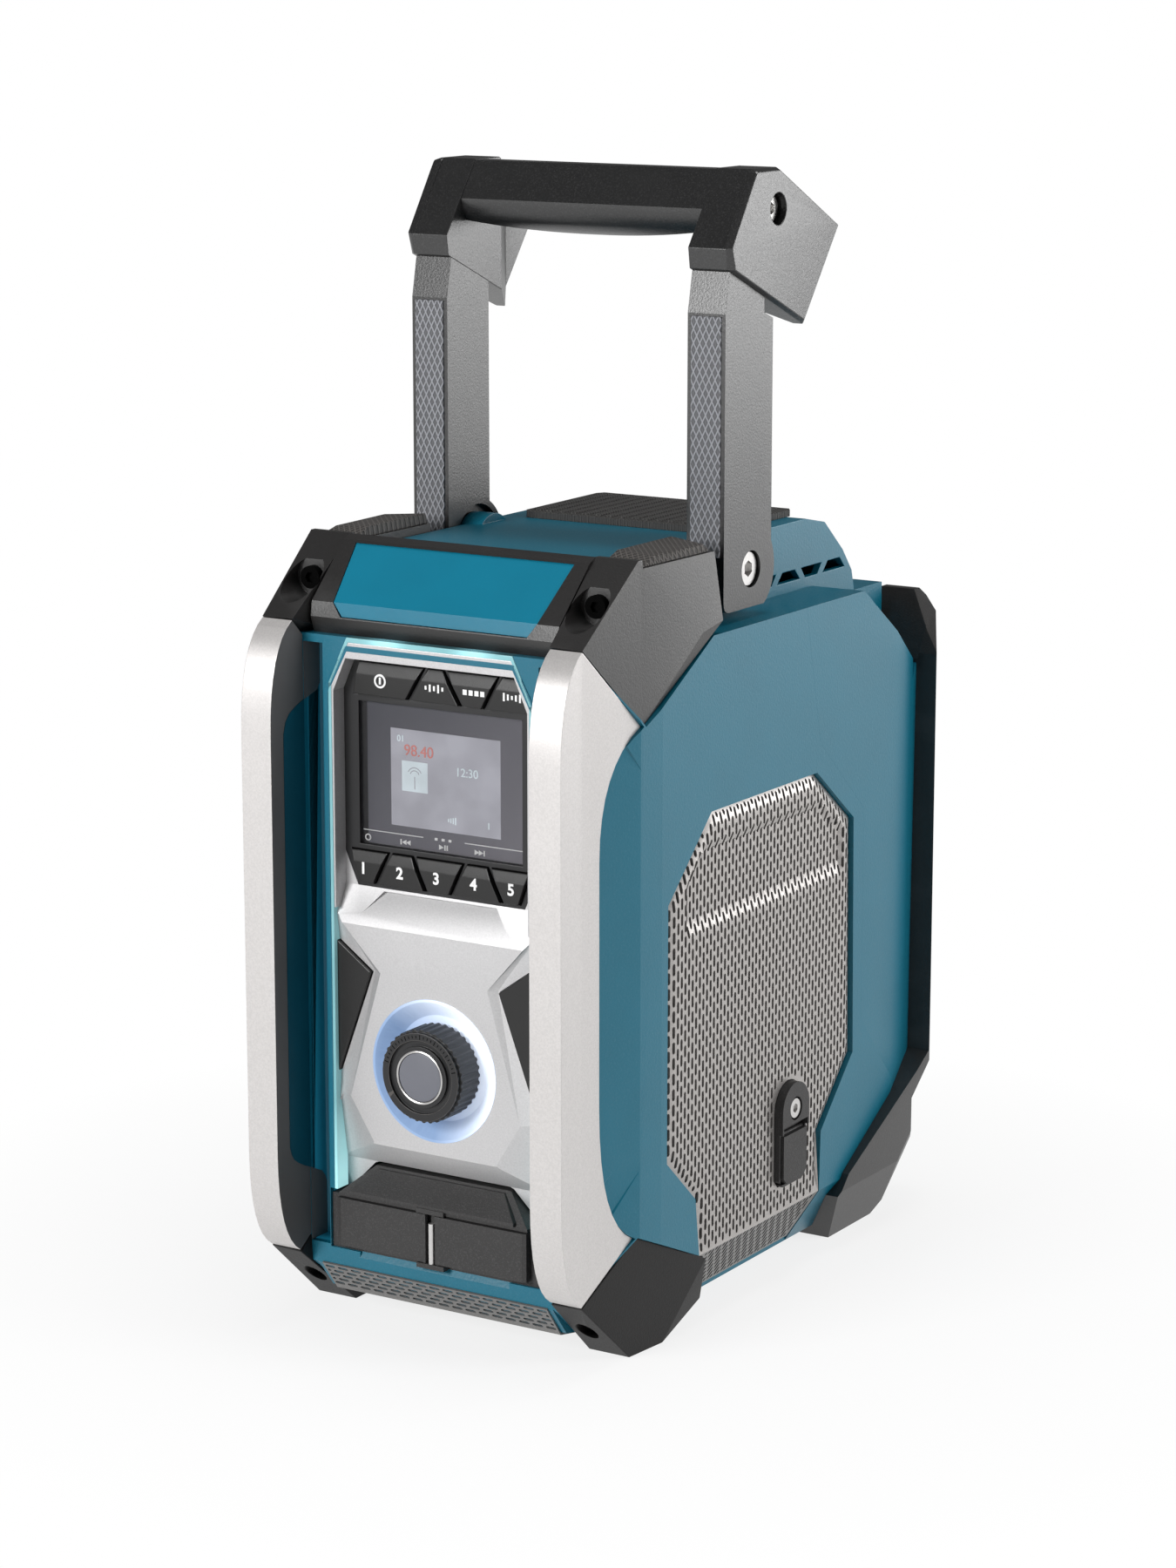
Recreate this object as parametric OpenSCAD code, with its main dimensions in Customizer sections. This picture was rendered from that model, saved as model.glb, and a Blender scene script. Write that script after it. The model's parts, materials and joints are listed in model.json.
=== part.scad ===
// Jobsite radio with a fold-back carrying handle, rubber bumpers, roll bars,
// side speakers behind slotted grilles and a battery bay behind a rear door.
// Millimetres. X is the width, Y runs from the front (-) to the back (+), Z is up.
// The origin lies on the ground, under the middle of the radio.

/* [Casing] */
// Half the width of the casing at its side walls
side_x = 75; // [74:0.5:77]
// Front face of the casing, in front of the middle
casing_front = 120.5; // [119:0.5:122]
// Back wall of the casing, behind the middle
casing_back = 126; // [124:0.5:128]
// Height of the ledges that the folded handle lies over
ledge_z = 261; // [257:0.5:261]
// Height of the raised middle of the top
top_z = 288; // [284:0.5:290]
// Gap between the ground and the belly of the casing
belly_z = 5; // [4:0.5:7]
// Half the width of the raised middle of the top
bump_x = 52; // [48:0.5:52]
// Thickness of the moulded walls
wall = 3; // [2:0.25:3.5]
// Height at which the side walls turn in to the belly
turn_z = 28; // [24:1:32]
// Half the width of the flat belly
belly_x = 60; // [56:1:62]
// Joint between the front housing and the side covers, in front of the middle
front_seam = 83.4; // [80:0.2:86]

/* [Guards] */
// How far the roll bars stand out in front of the middle
bar_front = 141; // [136:0.5:146]
// Inner edge of a roll bar, from the middle
bar_in = 55.2; // [52:0.1:58]
// Outer edge of a roll bar, from the middle
bar_out = 68.4; // [66:0.1:70]
// Radius of the screw wells in the corners of the bumper
well_r = 7.4; // [5:0.1:8]
// Depth of the screw wells
well_depth = 14; // [8:0.5:18]
// How far the rear guards stand out behind the middle
guard_back = 141; // [136:0.5:146]
// Outer face of a rear guard, from the middle
guard_x = 81; // [79:0.5:84]
// Height of the rear guards' horns
horn_z = 251.2; // [246:0.2:256]

/* [Handle] */
// Distance from the pivot axis to the front face of an arm
arm_reach = 20.2; // [18:0.1:22]
// Distance from the pivot axis to the back of an arm
arm_heel = 8.2; // [6:0.1:10]
// Pivot axis, behind the middle
pivot_y = -8.8; // [-10:0.1:-7]
// Height of the pivot axis
pivot_z = 279.5; // [279:0.1:284]
// Radius of the round lower end of an arm
arm_round = 17.3; // [14:0.1:17.5]
// Inner face of an arm, from the middle
arm_in = 52.4; // [52.3:0.1:54]
// Outer face of an arm, from the middle
arm_out = 68.2; // [66:0.1:69]
// How far a corner block of the handle stands proud of the arm
corner_rise = 2.2; // [1:0.1:2.4]
// Height of the top of the handle when it stands up
handle_top = 425.6; // [400:0.2:426]
// Radius of the pivot screw's shoulder
pivot_r = 4; // [3:0.1:5]
// Radius of the boss that carries the pivot
boss_r = 12; // [9:0.1:13]
// Radius of the rounded hand grip
grip_r = 13.5; // [11:0.1:14]

/* [Control panel] */
// Half the width of the panel opening
panel_x = 46.2; // [45.5:0.1:48]
// Height of the bottom of the panel opening
panel_low = 29; // [27:0.5:30]
// Height of the top of the panel opening
panel_high = 258; // [257:0.5:259]
// Height of the knob's axis
knob_z = 103.6; // [100:0.2:106]
// Radius of the knob
knob_r = 17.5; // [14:0.1:18.5]
// How far the knob stands out from the fascia
knob_h = 9.1; // [8:0.1:14]
// Outer radius of the lit ring around the knob
halo_r = 26.9; // [23:0.1:27.5]
// Travel of the push buttons
button_travel = 1; // [0.6:0.1:1.2]
// Push travel of the knob
knob_travel = 1; // [0.6:0.1:1.2]

/* [Speakers] */
// Radius of the speaker frames
speaker_r = 50; // [44:0.5:52]
// Height of the speaker axis
speaker_z = 124; // [120:1:128]
// Width of a grille slot
slot_w = 2.9; // [1.5:0.1:3.2]
// Length of a grille slot
slot_h = 8; // [5:0.1:8.6]
// Distance between neighbouring columns of slots
slot_pitch_y = 7; // [6:0.5:12]
// Distance between neighbouring slots of a column
slot_pitch_z = 11; // [10:0.5:16]
// Thickness of the grille sheet
sheet = 1; // [0.8:0.1:1.5]

/* [Battery bay] */
// Half the width of the bay
bay_x = 41; // [38:0.5:42]
// Height of the bay's floor
bay_low = 58; // [54:1:64]
// Height of the bay's roof
bay_high = 212; // [200:1:216]
// Depth of the bay
bay_depth = 62; // [50:1:62]
// Thickness of the bay's door
door_t = 5; // [4:0.25:6]

/* [Fits] */
// Radial clearance of a turning fit
turn_gap = 0.05; // [0.02:0.01:0.1]
// Gap around pieces that slide or swing
move_gap = 0.35; // [0.3:0.05:0.5]

/* [Hidden] */
$fn = 48;

teal = [0.08, 0.42, 0.5];
black = [0.13, 0.13, 0.13];
grey = [0.4, 0.4, 0.42];
silver = [0.75, 0.74, 0.73];
steel = [0.8, 0.8, 0.8];
clear = [0.75, 0.92, 0.92];
glass = [0.05, 0.05, 0.07];
screen = [0.55, 0.53, 0.6];
board_green = [0.05, 0.3, 0.15];
brass = [0.8, 0.65, 0.3];

front = -casing_front;
seam = -front_seam;
cut = 200; // longer than anything that it cuts

// Places and sizes that the pieces share
fascia_y = front + 1.2;
display_y = front + 7;
guard_t = 2.6; // how far the wing of a roll bar laps onto the side
corner_x = side_x - 8.5; // where the front corner of the casing begins
lip_z = 22; // lower edge of the front
chin_z = 10.6; // bend below that edge, from which the bottom runs on to belly_z
chin_run = 36;
speaker_y = -8;
baffle_x = side_x - 9;
guard_wall = 2.4; // of a rear guard where the casing behind it is cut back
notch_out = side_x - 3.6; // outer wall of the notch for a folded corner of the handle
boss_h = 2.6; // how far a pivot boss stands out of the raised middle
tray_top = 50;
port_z = 40; // height of the sockets behind the rubber covers
cover_t = 3.2;
rod_r = 1.2;
flap_x = 2.9; // hinge axes of the rubber covers
flap_y = fascia_y - 2.5;
bay_wall = 2.5;
door_x = bay_x + 3.6;
door_low = bay_low - 12;
door_high = bay_high + 8;
hinge_r = 2.3;
hinge_y = casing_back + door_t - hinge_r;
hinge_z = door_low + hinge_r;
latch_travel = 3;
board_y = display_y + 9; // front face of the circuit board
dc_y = 12;
dc_half = 10.4;
dc_low = 38.5;
dc_split = 59.5; // where the lifting half of the cover begins
dc_screw_z = 68.5;
dc_jack_z = 49;

// ---- helpers ----

// A profile drawn in (Y, Z), extruded along X
module slab_x(x0, x1) {
    translate([x0, 0, 0]) rotate([90, 0, 90]) linear_extrude(x1 - x0) children();
}

// A profile drawn in (X, Z), extruded along Y
module slab_y(y0, y1) {
    translate([0, y1, 0]) rotate([90, 0, 0]) linear_extrude(y1 - y0) children();
}

// A profile drawn in (X, Y), extruded along Z
module slab_z(z0, z1) {
    translate([0, 0, z0]) linear_extrude(z1 - z0) children();
}

module box(low, high) {
    translate(low) cube(high - low);
}

module rod_x(x0, x1, r) {
    translate([x0, 0, 0]) rotate([0, 90, 0]) cylinder(r = r, h = x1 - x0);
}

module rod_y(y0, y1, r) {
    translate([0, y1, 0]) rotate([90, 0, 0]) cylinder(r = r, h = y1 - y0);
}

// The right-hand piece and its mirror image
module both() {
    children();
    mirror([1, 0, 0]) children();
}

// A flat-faced block with the given corners
module block(corners) {
    hull() polyhedron(corners, [for (i = [0 : len(corners) - 3]) [i, i + 1, i + 2]]);
}

function mirrored(p) = concat(p, [for (i = [len(p) - 1 : -1 : 0]) [-p[i][0], p[i][1]]]);

// A quarter-like bend from a through the corner b to c
function bend(a, b, c, n = 8) =
    [for (i = [0 : n]) let (t = i / n) a * pow(1 - t, 2) + b * 2 * t * (1 - t) + c * t * t];

module mirrored_profile(half) {
    polygon(mirrored(half));
}

// ---- outline of the casing, inset by t ----

module casing_side(t) {
    polygon([
        [front + chin_run, belly_z + t], [casing_back - 28 - t / 2, belly_z + t],
        [casing_back - t, 34 + t / 2], [casing_back - t, 220 - t / 2],
        [casing_back - 7 - t / 2, 225 - t], [68 - t / 3, ledge_z - t],
        [front + t, ledge_z - t], [front + t, lip_z + t / 2], [front + 9 + t / 2, chin_z + t],
    ]);
}

module casing_section(t) {
    mirrored_profile([
        [belly_x - t / 2, belly_z + t - 0.01], [side_x - t, turn_z + t / 3],
        [side_x - t, ledge_z - t + 0.01],
    ]);
}

module casing_plan(t) {
    mirrored_profile([
        [corner_x - t / 2, front + t - 0.01], [corner_x + 1.8 - t / 2, front + 3.5],
        [side_x - 0.8 - t, front + 23.5], [side_x - t, seam],
        [side_x - t, casing_back - 30], [side_x - 4 - t, casing_back - 7],
        [side_x - 4 - t, casing_back - t + 0.01],
    ]);
}

module casing_solid(t) {
    intersection() {
        slab_x(-side_x - 1, side_x + 1) casing_side(t);
        slab_y(-cut, cut) casing_section(t);
        slab_z(0, cut * 2) casing_plan(t);
    }
    box([-bump_x + t, 60, 200], [bump_x - t, casing_back - t, rear_deck_z - t]);
}

rear_deck_z = 254.5;

// Side view of a side cover, between the two seams of the side
module side_cover_view() {
    polygon([
        [seam, 0], [seam, ledge_z + 1], [22, ledge_z + 1], [22, ledge_z], [34, 207], [70, 175],
        [70, 90], [102, 53], [102, 0],
    ]);
}

module side_cover_zone() {
    intersection() {
        slab_x(0, side_x + 1) side_cover_view();
        slab_y(-cut, cut) polygon([
            [belly_x - 2, 0], [side_x + 1, 0], [side_x + 1, ledge_z + 1], [bump_x, ledge_z + 1],
            [bump_x, ledge_z - wall - 1], [belly_x - 2, ledge_z - wall - 1],
        ]);
    }
}

// Side view of the opening behind a speaker grille
grille_view = [
    [-55.4, turn_z], [-58.4, 51], [-79.2, 70], [-79, 167], [-48.3, 196], [31.7, 196],
    [61.6, 173], [63.5, 78], [38, 52], [37.2, turn_z],
];
wrap_y0 = grille_view[0][0];
wrap_y1 = grille_view[len(grille_view) - 1][0];

// A profile drawn in (Y, distance up the turned-in lower wall), laid on that wall
turn_run = [side_x - belly_x, turn_z - belly_z];
turn_len = norm(turn_run);
turn_angle = atan2(turn_run[1], turn_run[0]);

module on_turn(depth, height) {
    translate([belly_x, 0, belly_z]) rotate([0, -turn_angle, 0]) translate([0, 0, depth])
        rotate([0, 0, -90]) mirror([1, 0, 0]) linear_extrude(height) children();
}

// The space of a folded corner of the handle, in side view
module notch_view(grow) {
    polygon([
        [76.6 - grow, ledge_z + 1], [76.6 - grow, 241 - grow], [113.6, 213.2 - grow * 1.2],
        [116 + grow, 217], [143, 270],
    ]);
}

// ---- guards ----

// Corners of a guard block; grow moves its outer ones sideways
function bumper_corners(grow) = [
    [bump_x + 0.7, -93, 294], [70.5 + grow, -93, 294], [bar_in - 0.2, -126.7, 267],
    [bar_out + grow, -126.8, 266.8], [side_x - 2 + grow, -93.7, 235.2],
    [side_x + grow, -55.3, 263.3], [side_x + grow, -41, 265.7], [72 + grow, -43, 293.5],
    [bump_x + 0.7, -41, 293.5], [bump_x + 0.7, -41, ledge_z], [bump_x + 0.7, -108, ledge_z],
    [side_x - 6, -93.7, 238], [66, -114, ledge_z],
];

function foot_corners(grow) = [
    [bar_out + grow, -127.6, 27.6], [bar_in + 0.1, -127.3, 27.1], [69.6 + grow, -96.3, 0],
    [52.2, -96.3, 0], [71.8 + grow, -76.6, 0], [52.2, -76.6, 0], [70 + grow, -46, 8],
    [belly_x - 2, -46, belly_z], [side_x + grow, -50.3, 25.9], [side_x - 2 + grow, -97.8, 47],
    [66, -97, 45], [bar_in, front, 32],
];

module bumper_block(grow = 0) {
    block(concat(bumper_corners(0), bumper_corners(grow)));
}

module foot_block(grow = 0) {
    block(concat(foot_corners(0), foot_corners(grow)));
}

module bar_side() {
    top_end = [-126.8, 266.4];
    low_end = [-127.6, 28];
    polygon(concat(
        bend(top_end, [-bar_front, 258], [-bar_front, 226]),
        bend([-bar_front, 68], [-bar_front, 36], low_end),
        bend([-99, 47], [-117.6, 56], [-117.6, 100]),
        bend([-117.6, 190], [-117.6, 224], [-95, 235.4])
    ));
}

module bar_solid(grow = 0) {
    intersection() {
        slab_x(bar_in, side_x + grow) bar_side();
        slab_z(0, 300) polygon([
            [bar_in, -bar_front - 1], [bar_out + grow, -bar_front - 1], [bar_out + grow, -127],
            [side_x - 1.8 + grow, -93], [side_x - 1.8 - guard_t, -93],
            [corner_x - 0.6, front], [bar_in, front],
        ]);
    }
}

module front_guard_cut() {
    both() {
        bumper_block(grow = 6);
        foot_block(grow = 6);
        bar_solid(grow = 6);
    }
}

// ---- casing pieces ----

module front_housing() color(teal) {
    difference() {
        intersection() {
            casing_solid(0);
            box([-cut, -cut, 0], [cut, seam, cut * 2]);
        }
        intersection() {
            casing_solid(wall);
            box([-cut, -cut, 0], [cut, seam + 1, cut * 2]);
        }
        slab_y(front - 1, front + wall + 1) panel_opening(0);
        front_guard_cut();
        both() tip_facets();
        both() slab_x(bump_x, side_x + 1) polygon([[-130, 30.6], [-95, 0], [-130, 0]]);
        slab_x(-33, 33) polygon([
            [front - 1, panel_low + 0.2], [front + 1.4, panel_low + 0.2], [front, 26.8], [front - 1, 26],
        ]);
    }
}

// Flat cuts in the front corner of the casing, beside the ends of a roll bar
module tip_facets() {
    proud = side_x + 0.3;
    block([
        [proud, -98, 206], [proud, -94, 216.4], [proud, -104.9, 236], [69, -112.6, 228.5],
        [70, -107.4, 234], [80, -112, 207], [80, -94, 217], [80, -112, 239],
    ]);
    polyhedron([
        [proud, -98.2, 87.2], [proud, -93.5, 76.2], [proud, -106.6, 54], [68.6, -114, 70],
        [69.2, -112, 57], [80, -116, 88], [80, -94, 74],
    ], [
        [0, 5, 3], [0, 3, 1], [4, 3, 5], [4, 5, 2], [4, 1, 3], [4, 2, 1], [6, 2, 5], [6, 1, 2],
        [6, 5, 0], [6, 0, 1],
    ]);
}

module panel_opening(t) {
    mirrored_profile([
        [panel_x - t, panel_low + t], [panel_x - t, panel_high - 17 - t / 2],
        [panel_x - 9.5 - t / 2, panel_high - t],
    ]);
}

module rear_housing() color(teal) {
    difference() {
        union() {
            difference() {
                casing_solid(0);
                casing_solid(wall);
            }
            box([-bay_x - bay_wall, casing_back - bay_depth - bay_wall, bay_low - bay_wall],
                [bay_x + bay_wall, casing_back, bay_high + bay_wall]);
            both() intersection() {
                slab_x(bump_x - 2.5, side_x - 2) notch_view(2.5);
                casing_solid(0);
            }
            for (s = [-1, 1]) translate([s * (door_x + 3.5), 0, 0]) slab_x(-3, 3) polygon([
                [casing_back - 1, hinge_z - 8], [hinge_y + 3, hinge_z - 3],
                [hinge_y + 3, hinge_z + 3], [casing_back - 1, hinge_z + 6],
            ]);
        }
        box([-cut, -cut, 0], [cut, seam, cut * 2]);
        both() side_cover_zone();
        box([-bump_x, seam - 1, ledge_z - wall], [bump_x, 60.2, ledge_z + 1]);
        box([-bump_x, 60, rear_deck_z], [bump_x, cut, ledge_z + 1]);
        both() {
            slab_x(bump_x, notch_out) notch_view(0);
            guard_bend_cut(guard_wall);
        }
        box([-bay_x, casing_back - bay_depth, bay_low], [bay_x, casing_back + 1, bay_high]);
        translate([0, hinge_y, hinge_z]) rod_x(-door_x - 5, door_x + 5, 1.6 + turn_gap);
        box([-door_x - 0.5, casing_back, door_low - 1], [door_x + 0.5, cut, door_high + 1]);
        box([-12, casing_back - wall - 1, bay_high + 1.5], [12, casing_back + 1, bay_high + 7.4]);
        both() foot_block(grow = 6);
    }
}

module side_cover() {
    difference() {
        intersection() {
            difference() {
                casing_solid(0);
                casing_solid(wall);
            }
            side_cover_zone();
        }
        slab_x(side_x - wall - 1, side_x + 1) polygon(grille_view);
        box([belly_x, wrap_y0, belly_z - 1], [side_x + 1, wrap_y1, turn_z + 0.5]);
        bumper_block(grow = 6);
        foot_block(grow = 6);
    }
}

module side_cover_right() color(teal) side_cover();

module side_cover_left() color(teal) mirror([1, 0, 0]) side_cover();

module cover_view(t) {
    polygon([
        [-90 + t, ledge_z - (t > 0 ? 8 : 0)], [-90 + t, top_z - t], [62, top_z - t],
        [77.7 - t / 2, 284.8 - t], [92.7 - t, 272.1 - t / 2], [100.4 - t, 262.9],
        [102.6 - t, rear_deck_z], [60.2, rear_deck_z], [60.2, ledge_z - wall - (t > 0 ? 8 : 0)],
        [seam, ledge_z - wall - (t > 0 ? 8 : 0)], [seam, ledge_z - (t > 0 ? 8 : 0)],
    ]);
}

// Vent slots between slanting ribs, in the side walls of the raised middle
module vent_row() {
    pitch = 18.1;
    for (i = [0 : 3]) {
        y = 31 + i * pitch;
        low = i % 2 == 0 ? 4.9 : pitch / 2 - 0.2;
        high = i % 2 == 0 ? pitch / 2 - 0.8 : 4.9;
        polygon([[y - low, 265.1], [y + low, 265.1], [y + high, 269.2], [y - high, 269.2]]);
    }
}

module top_cover() color(teal) {
    difference() {
        union() {
            slab_x(-bump_x, bump_x) cover_view(0);
            both() translate([0, pivot_y, pivot_z]) rod_x(bump_x - wall - 4, bump_x + boss_h, boss_r);
        }
        difference() {
            slab_x(-bump_x + wall, bump_x - wall) cover_view(wall);
            both() translate([0, pivot_y, pivot_z]) rod_x(bump_x - wall - 6, bump_x, boss_r - 3);
        }
        translate([0, pivot_y, pivot_z]) rod_x(-bump_x - cut, bump_x + cut, pivot_r);
        slab_x(-bump_x - 1, bump_x + 1) vent_row();
        both() bumper_block();
    }
}

module top_pad() color(black) {
    slab_z(top_z, top_z + 2.6) mirrored_profile([[41, 8], [43, 11], [44, 64], [42, 67]]);
    for (i = [0 : 14]) translate([-39 + i * 5.4, 10.5, top_z + 2.6]) cube([2.7, 53, 0.6]);
}

module top_bumper() color(black) {
    difference() {
        union() {
            both() bumper_block();
            slab_x(-bump_x - 1, bump_x + 1) polygon([
                [-90, ledge_z], [-90, 292.4], [-93, 294], [-97, 292.4], [-117.4, 272.6],
                [-118.4, 267], [-116.4, ledge_z],
            ]);
        }
        nameplate_solid(0.15);
        box([-cut, -90.5, 291], [cut, -30, cut * 2]);
        both() well(61.3, 278.8, -130);
    }
}

// A screw well with a screw hole at its bottom
module well(x, z, y) {
    bottom = y + 12 + well_depth;
    translate([x, 0, z]) {
        rod_y(y, bottom, well_r);
        rod_y(y, bottom + 8, 1.9);
    }
}

module nameplate_solid(gap) {
    intersection() {
        slab_x(-cut, cut) polygon([
            [-98, 294.4], [-93.4, 290.4], [-114.2, 270.4], [-114.2, 267.6 - gap],
            [-118.6, 267.6 - gap], [-120, 272],
        ]);
        slab_y(-cut, cut) mirrored_profile([
            [39.8 + gap, 267.6 - gap], [43.6 + gap, 272.5], [46.9 + gap, 291.4 + gap],
        ]);
    }
}

module nameplate() color(teal) {
    intersection() {
        nameplate_solid(0);
        slab_x(-cut, cut) polygon([
            [-90, 290], [-96.6, 292.2], [-117, 272.6], [-117.6, 267], [-100, 262],
        ]);
    }
}

module corner_pads() color(black) both() block([
    [53.4, -90.3, 291], [69.6, -90.3, 291], [71, -44, 291], [53.4, -41.4, 291],
    [53.8, -80, 295], [68.6, -80, 294], [69.8, -47, 294], [53.8, -42.5, 295],
]);

module roll_bars() color(silver) both() difference() {
    bar_solid();
    bumper_block(grow = 6);
    foot_block(grow = 6);
}

module front_feet() color(black) both() difference() {
    foot_block();
    translate([60.5, 0, 13]) {
        rod_y(-130, -100, 4);
        rod_y(-130, -84, 1.9);
    }
}

module rear_guard_solid() {
    tip = horn_z;
    edge_y = 118.5;
    intersection() {
        slab_x(45.4, guard_x) polygon([
            [62, 0], [97.5, 0], [120, 20], [guard_back, 48], [guard_back, tip - 3],
            [guard_back - 2, tip], [casing_back + 8.5, tip], [casing_back - 5.5, tip - 23],
            [casing_back - 8, 66], [56, 30], [50, 22],
        ]);
        slab_y(40, cut) polygon([
            [53, 0], [66, 0], [guard_x - 3.5, 24], [guard_x, 60], [guard_x, tip - 23.4],
            [guard_x - 8, tip - 14.7], [guard_x - 18.8, tip], [47.4, tip], [45.4, tip - 3],
            [45.4, tip - 18], [53, tip - 27],
        ]);
        slab_z(0, cut * 2) polygon([
            [45, 40], [guard_x, 40], [guard_x, edge_y],
            [guard_x - (guard_back - edge_y) * 0.54, guard_back], [45, guard_back],
        ]);
    }
}

// Slanting cut behind the foot of a rear guard
module guard_foot_cut() {
    a = [guard_x, 90, 25.5];
    b = [guard_x, 124.5, 54];
    c = [guard_x - 15, 104, 0];
    block([for (s = [-1.5, 2], t = [-0.5, 1.6], out = [0, 70])
        a + s * (b - a) + t * (c - a) + [0, out, 0]]);
}

// The corner that is missing below the bend of a rear guard
module guard_bend_cut(inset = 0) {
    bend_z = 62;
    step_z = 49;
    turn = [-12, 22.5];
    upper = [guard_x, 118.5];
    lower = [guard_x - 4, 111];
    translate([-inset, -inset, 0]) block([
        for (s = [-0.6, 1.2]) concat(upper + s * turn, bend_z),
        for (z = [step_z, -1], s = [-0.9, 1.6]) concat(lower + s * turn, z),
        [guard_x + 40, 140, bend_z], [guard_x + 40, 140, -1],
    ]);
}

module rear_guards() color(black) both() difference() {
    rear_guard_solid();
    guard_foot_cut();
    guard_bend_cut();
    difference() {
        casing_solid(0);
        guard_bend_cut(guard_wall);
    }
    slab_x(bump_x, notch_out + move_gap) notch_view(0);
}

// ---- grilles and speakers ----

module slot(w, h) {
    polygon([
        [-w / 2, -h / 2 + w / 2], [0, -h / 2], [w / 2, -h / 2 + w / 2],
        [w / 2, h / 2 - w / 2], [0, h / 2], [-w / 2, h / 2 - w / 2],
    ]);
}

// The heights between which column y of a grille has slots
function grille_floor(y) = (y < -57 ? lookup(y, [[-79, 71], [-57, 51]]) : y < 37 ? turn_z + 4
    : lookup(y, [[37, 52], [63.5, 78]])) + 3;
function grille_roof(y) = (y < -48 ? lookup(y, [[-79, 167], [-48, 196]]) : y < 31 ? 196
    : lookup(y, [[31, 196], [61.6, 173]])) - 3;

function near_dc(y, z) = abs(y - dc_y) < dc_half + 3 && z > dc_low - 7 && z < dc_screw_z + dc_half + 6;

module grille_slots(dc) {
    columns = floor(132 / slot_pitch_y);
    for (i = [0 : columns]) {
        y = -74 + i * slot_pitch_y;
        stagger = i % 2 == 0 ? 0 : slot_pitch_z / 2;
        for (z = [turn_z + 6 + stagger : slot_pitch_z : 196])
            if (z - slot_h / 2 > grille_floor(y) && z + slot_h / 2 < grille_roof(y)
                && !(dc && near_dc(y, z)))
                translate([y, z]) slot(slot_w, slot_h);
    }
}

module dc_outline(z0, z1, grow = 0) {
    r = dc_half + grow;
    polygon([
        [dc_y - r, z0 + 3], [dc_y - r + 3, z0], [dc_y + r - 3, z0], [dc_y + r, z0 + 3],
        [dc_y + r, min(z1, dc_screw_z)], [dc_y - r, min(z1, dc_screw_z)],
    ]);
    if (z1 > dc_screw_z) translate([dc_y, dc_screw_z]) circle(r = r);
}

module grille(dc) {
    rim = 3;
    face = side_x - 0.3;
    difference() {
        union() {
            slab_x(face - sheet, face) offset(delta = -0.5) polygon(grille_view);
            difference() {
                slab_x(side_x - wall, face) polygon(grille_view);
                slab_x(0, face + 1) offset(delta = -rim) polygon(grille_view);
                box([0, wrap_y0 + rim, 0], [face - sheet, wrap_y1 - rim, turn_z + 5]);
            }
            on_turn(0.3, sheet) translate([wrap_y0, 2.1]) square([wrap_y1 - wrap_y0, turn_len - 2]);
            box([face - sheet - 0.4, wrap_y0, turn_z - 1], [face, wrap_y1, turn_z + 1.6]);
        }
        slab_x(0, cut) grille_slots(dc);
        on_turn(-1, sheet + 3) for (i = [0 : 11], j = [0, 1])
            translate([wrap_y0 + 8 + i * slot_pitch_y, 8 + j * 9]) slot(slot_w, 7);
        if (dc) slab_x(0, cut) dc_outline(dc_low, 80, 0.2);
        foot_block(grow = 6);
    }
}

module grille_right() color(silver) grille(true);

module grille_left() color(silver) mirror([1, 0, 0]) grille(false);

module belly_grille() color(silver) difference() {
    slab_x(-50, 50) polygon([
        [front - 0.8, lip_z + 0.4], [front + 8.6, chin_z - sheet], [front + chin_run, belly_z - sheet],
        [94, belly_z - sheet], [94, belly_z], [front + chin_run, belly_z], [front + 9, chin_z],
        [front, lip_z],
    ]);
    for (i = [0 : 12]) translate([-45 + i * 7.5, front + 4, 16]) rotate([-52, 0, 0])
        translate([0, 0, -4]) linear_extrude(8) slot(2.9, 8);
    for (i = [0 : 10], j = [0 : 9]) translate([-40 + i * 8, -88 + j * 18, 0])
        linear_extrude(8) slot(3.2, 12);
    both() foot_block(grow = 6);
}

module baffle() {
    difference() {
        slab_x(baffle_x, side_x - wall) offset(delta = 3) polygon(grille_view);
        slab_x(baffle_x + wall, side_x) polygon(grille_view);
        translate([0, speaker_y, speaker_z]) rod_x(0, cut, speaker_r - 4);
        at_speaker_screws(0) rod_x(baffle_x - 1, baffle_x + 2, 1);
        dc_jack_body();
        box([0, -cut, 0], [cut, cut, turn_z + 3]);
    }
}

module speaker_baffles() color(black) {
    baffle();
    mirror([1, 0, 0]) baffle();
}

// Turns a profile of (radius, place along X) about the right-hand speaker's axis
module turned(profile) {
    translate([0, speaker_y, speaker_z]) rotate([0, 90, 0]) rotate_extrude() polygon(profile);
}

// Places its children, which point along +X, at the four screws of a speaker
module at_speaker_screws(x) {
    for (a = [45 : 90 : 315]) translate([0, speaker_y, speaker_z]) rotate([a, 0, 0])
        translate([x, 0, speaker_r - 2]) children();
}

module speaker_frames() color(grey) both() difference() {
    speaker_frame();
    at_speaker_screws(0) rod_x(baffle_x - 4, baffle_x + 1, 1);
}

module speaker_frame() turned([
    [speaker_r - 6, baffle_x], [speaker_r, baffle_x], [speaker_r, baffle_x - 2],
    [speaker_r - 5, baffle_x - 2.2], [27, baffle_x - 20], [27, baffle_x - 22],
    [14, baffle_x - 22], [14, baffle_x - 20], [25, baffle_x - 20], [speaker_r - 6, baffle_x - 3],
]);

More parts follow.
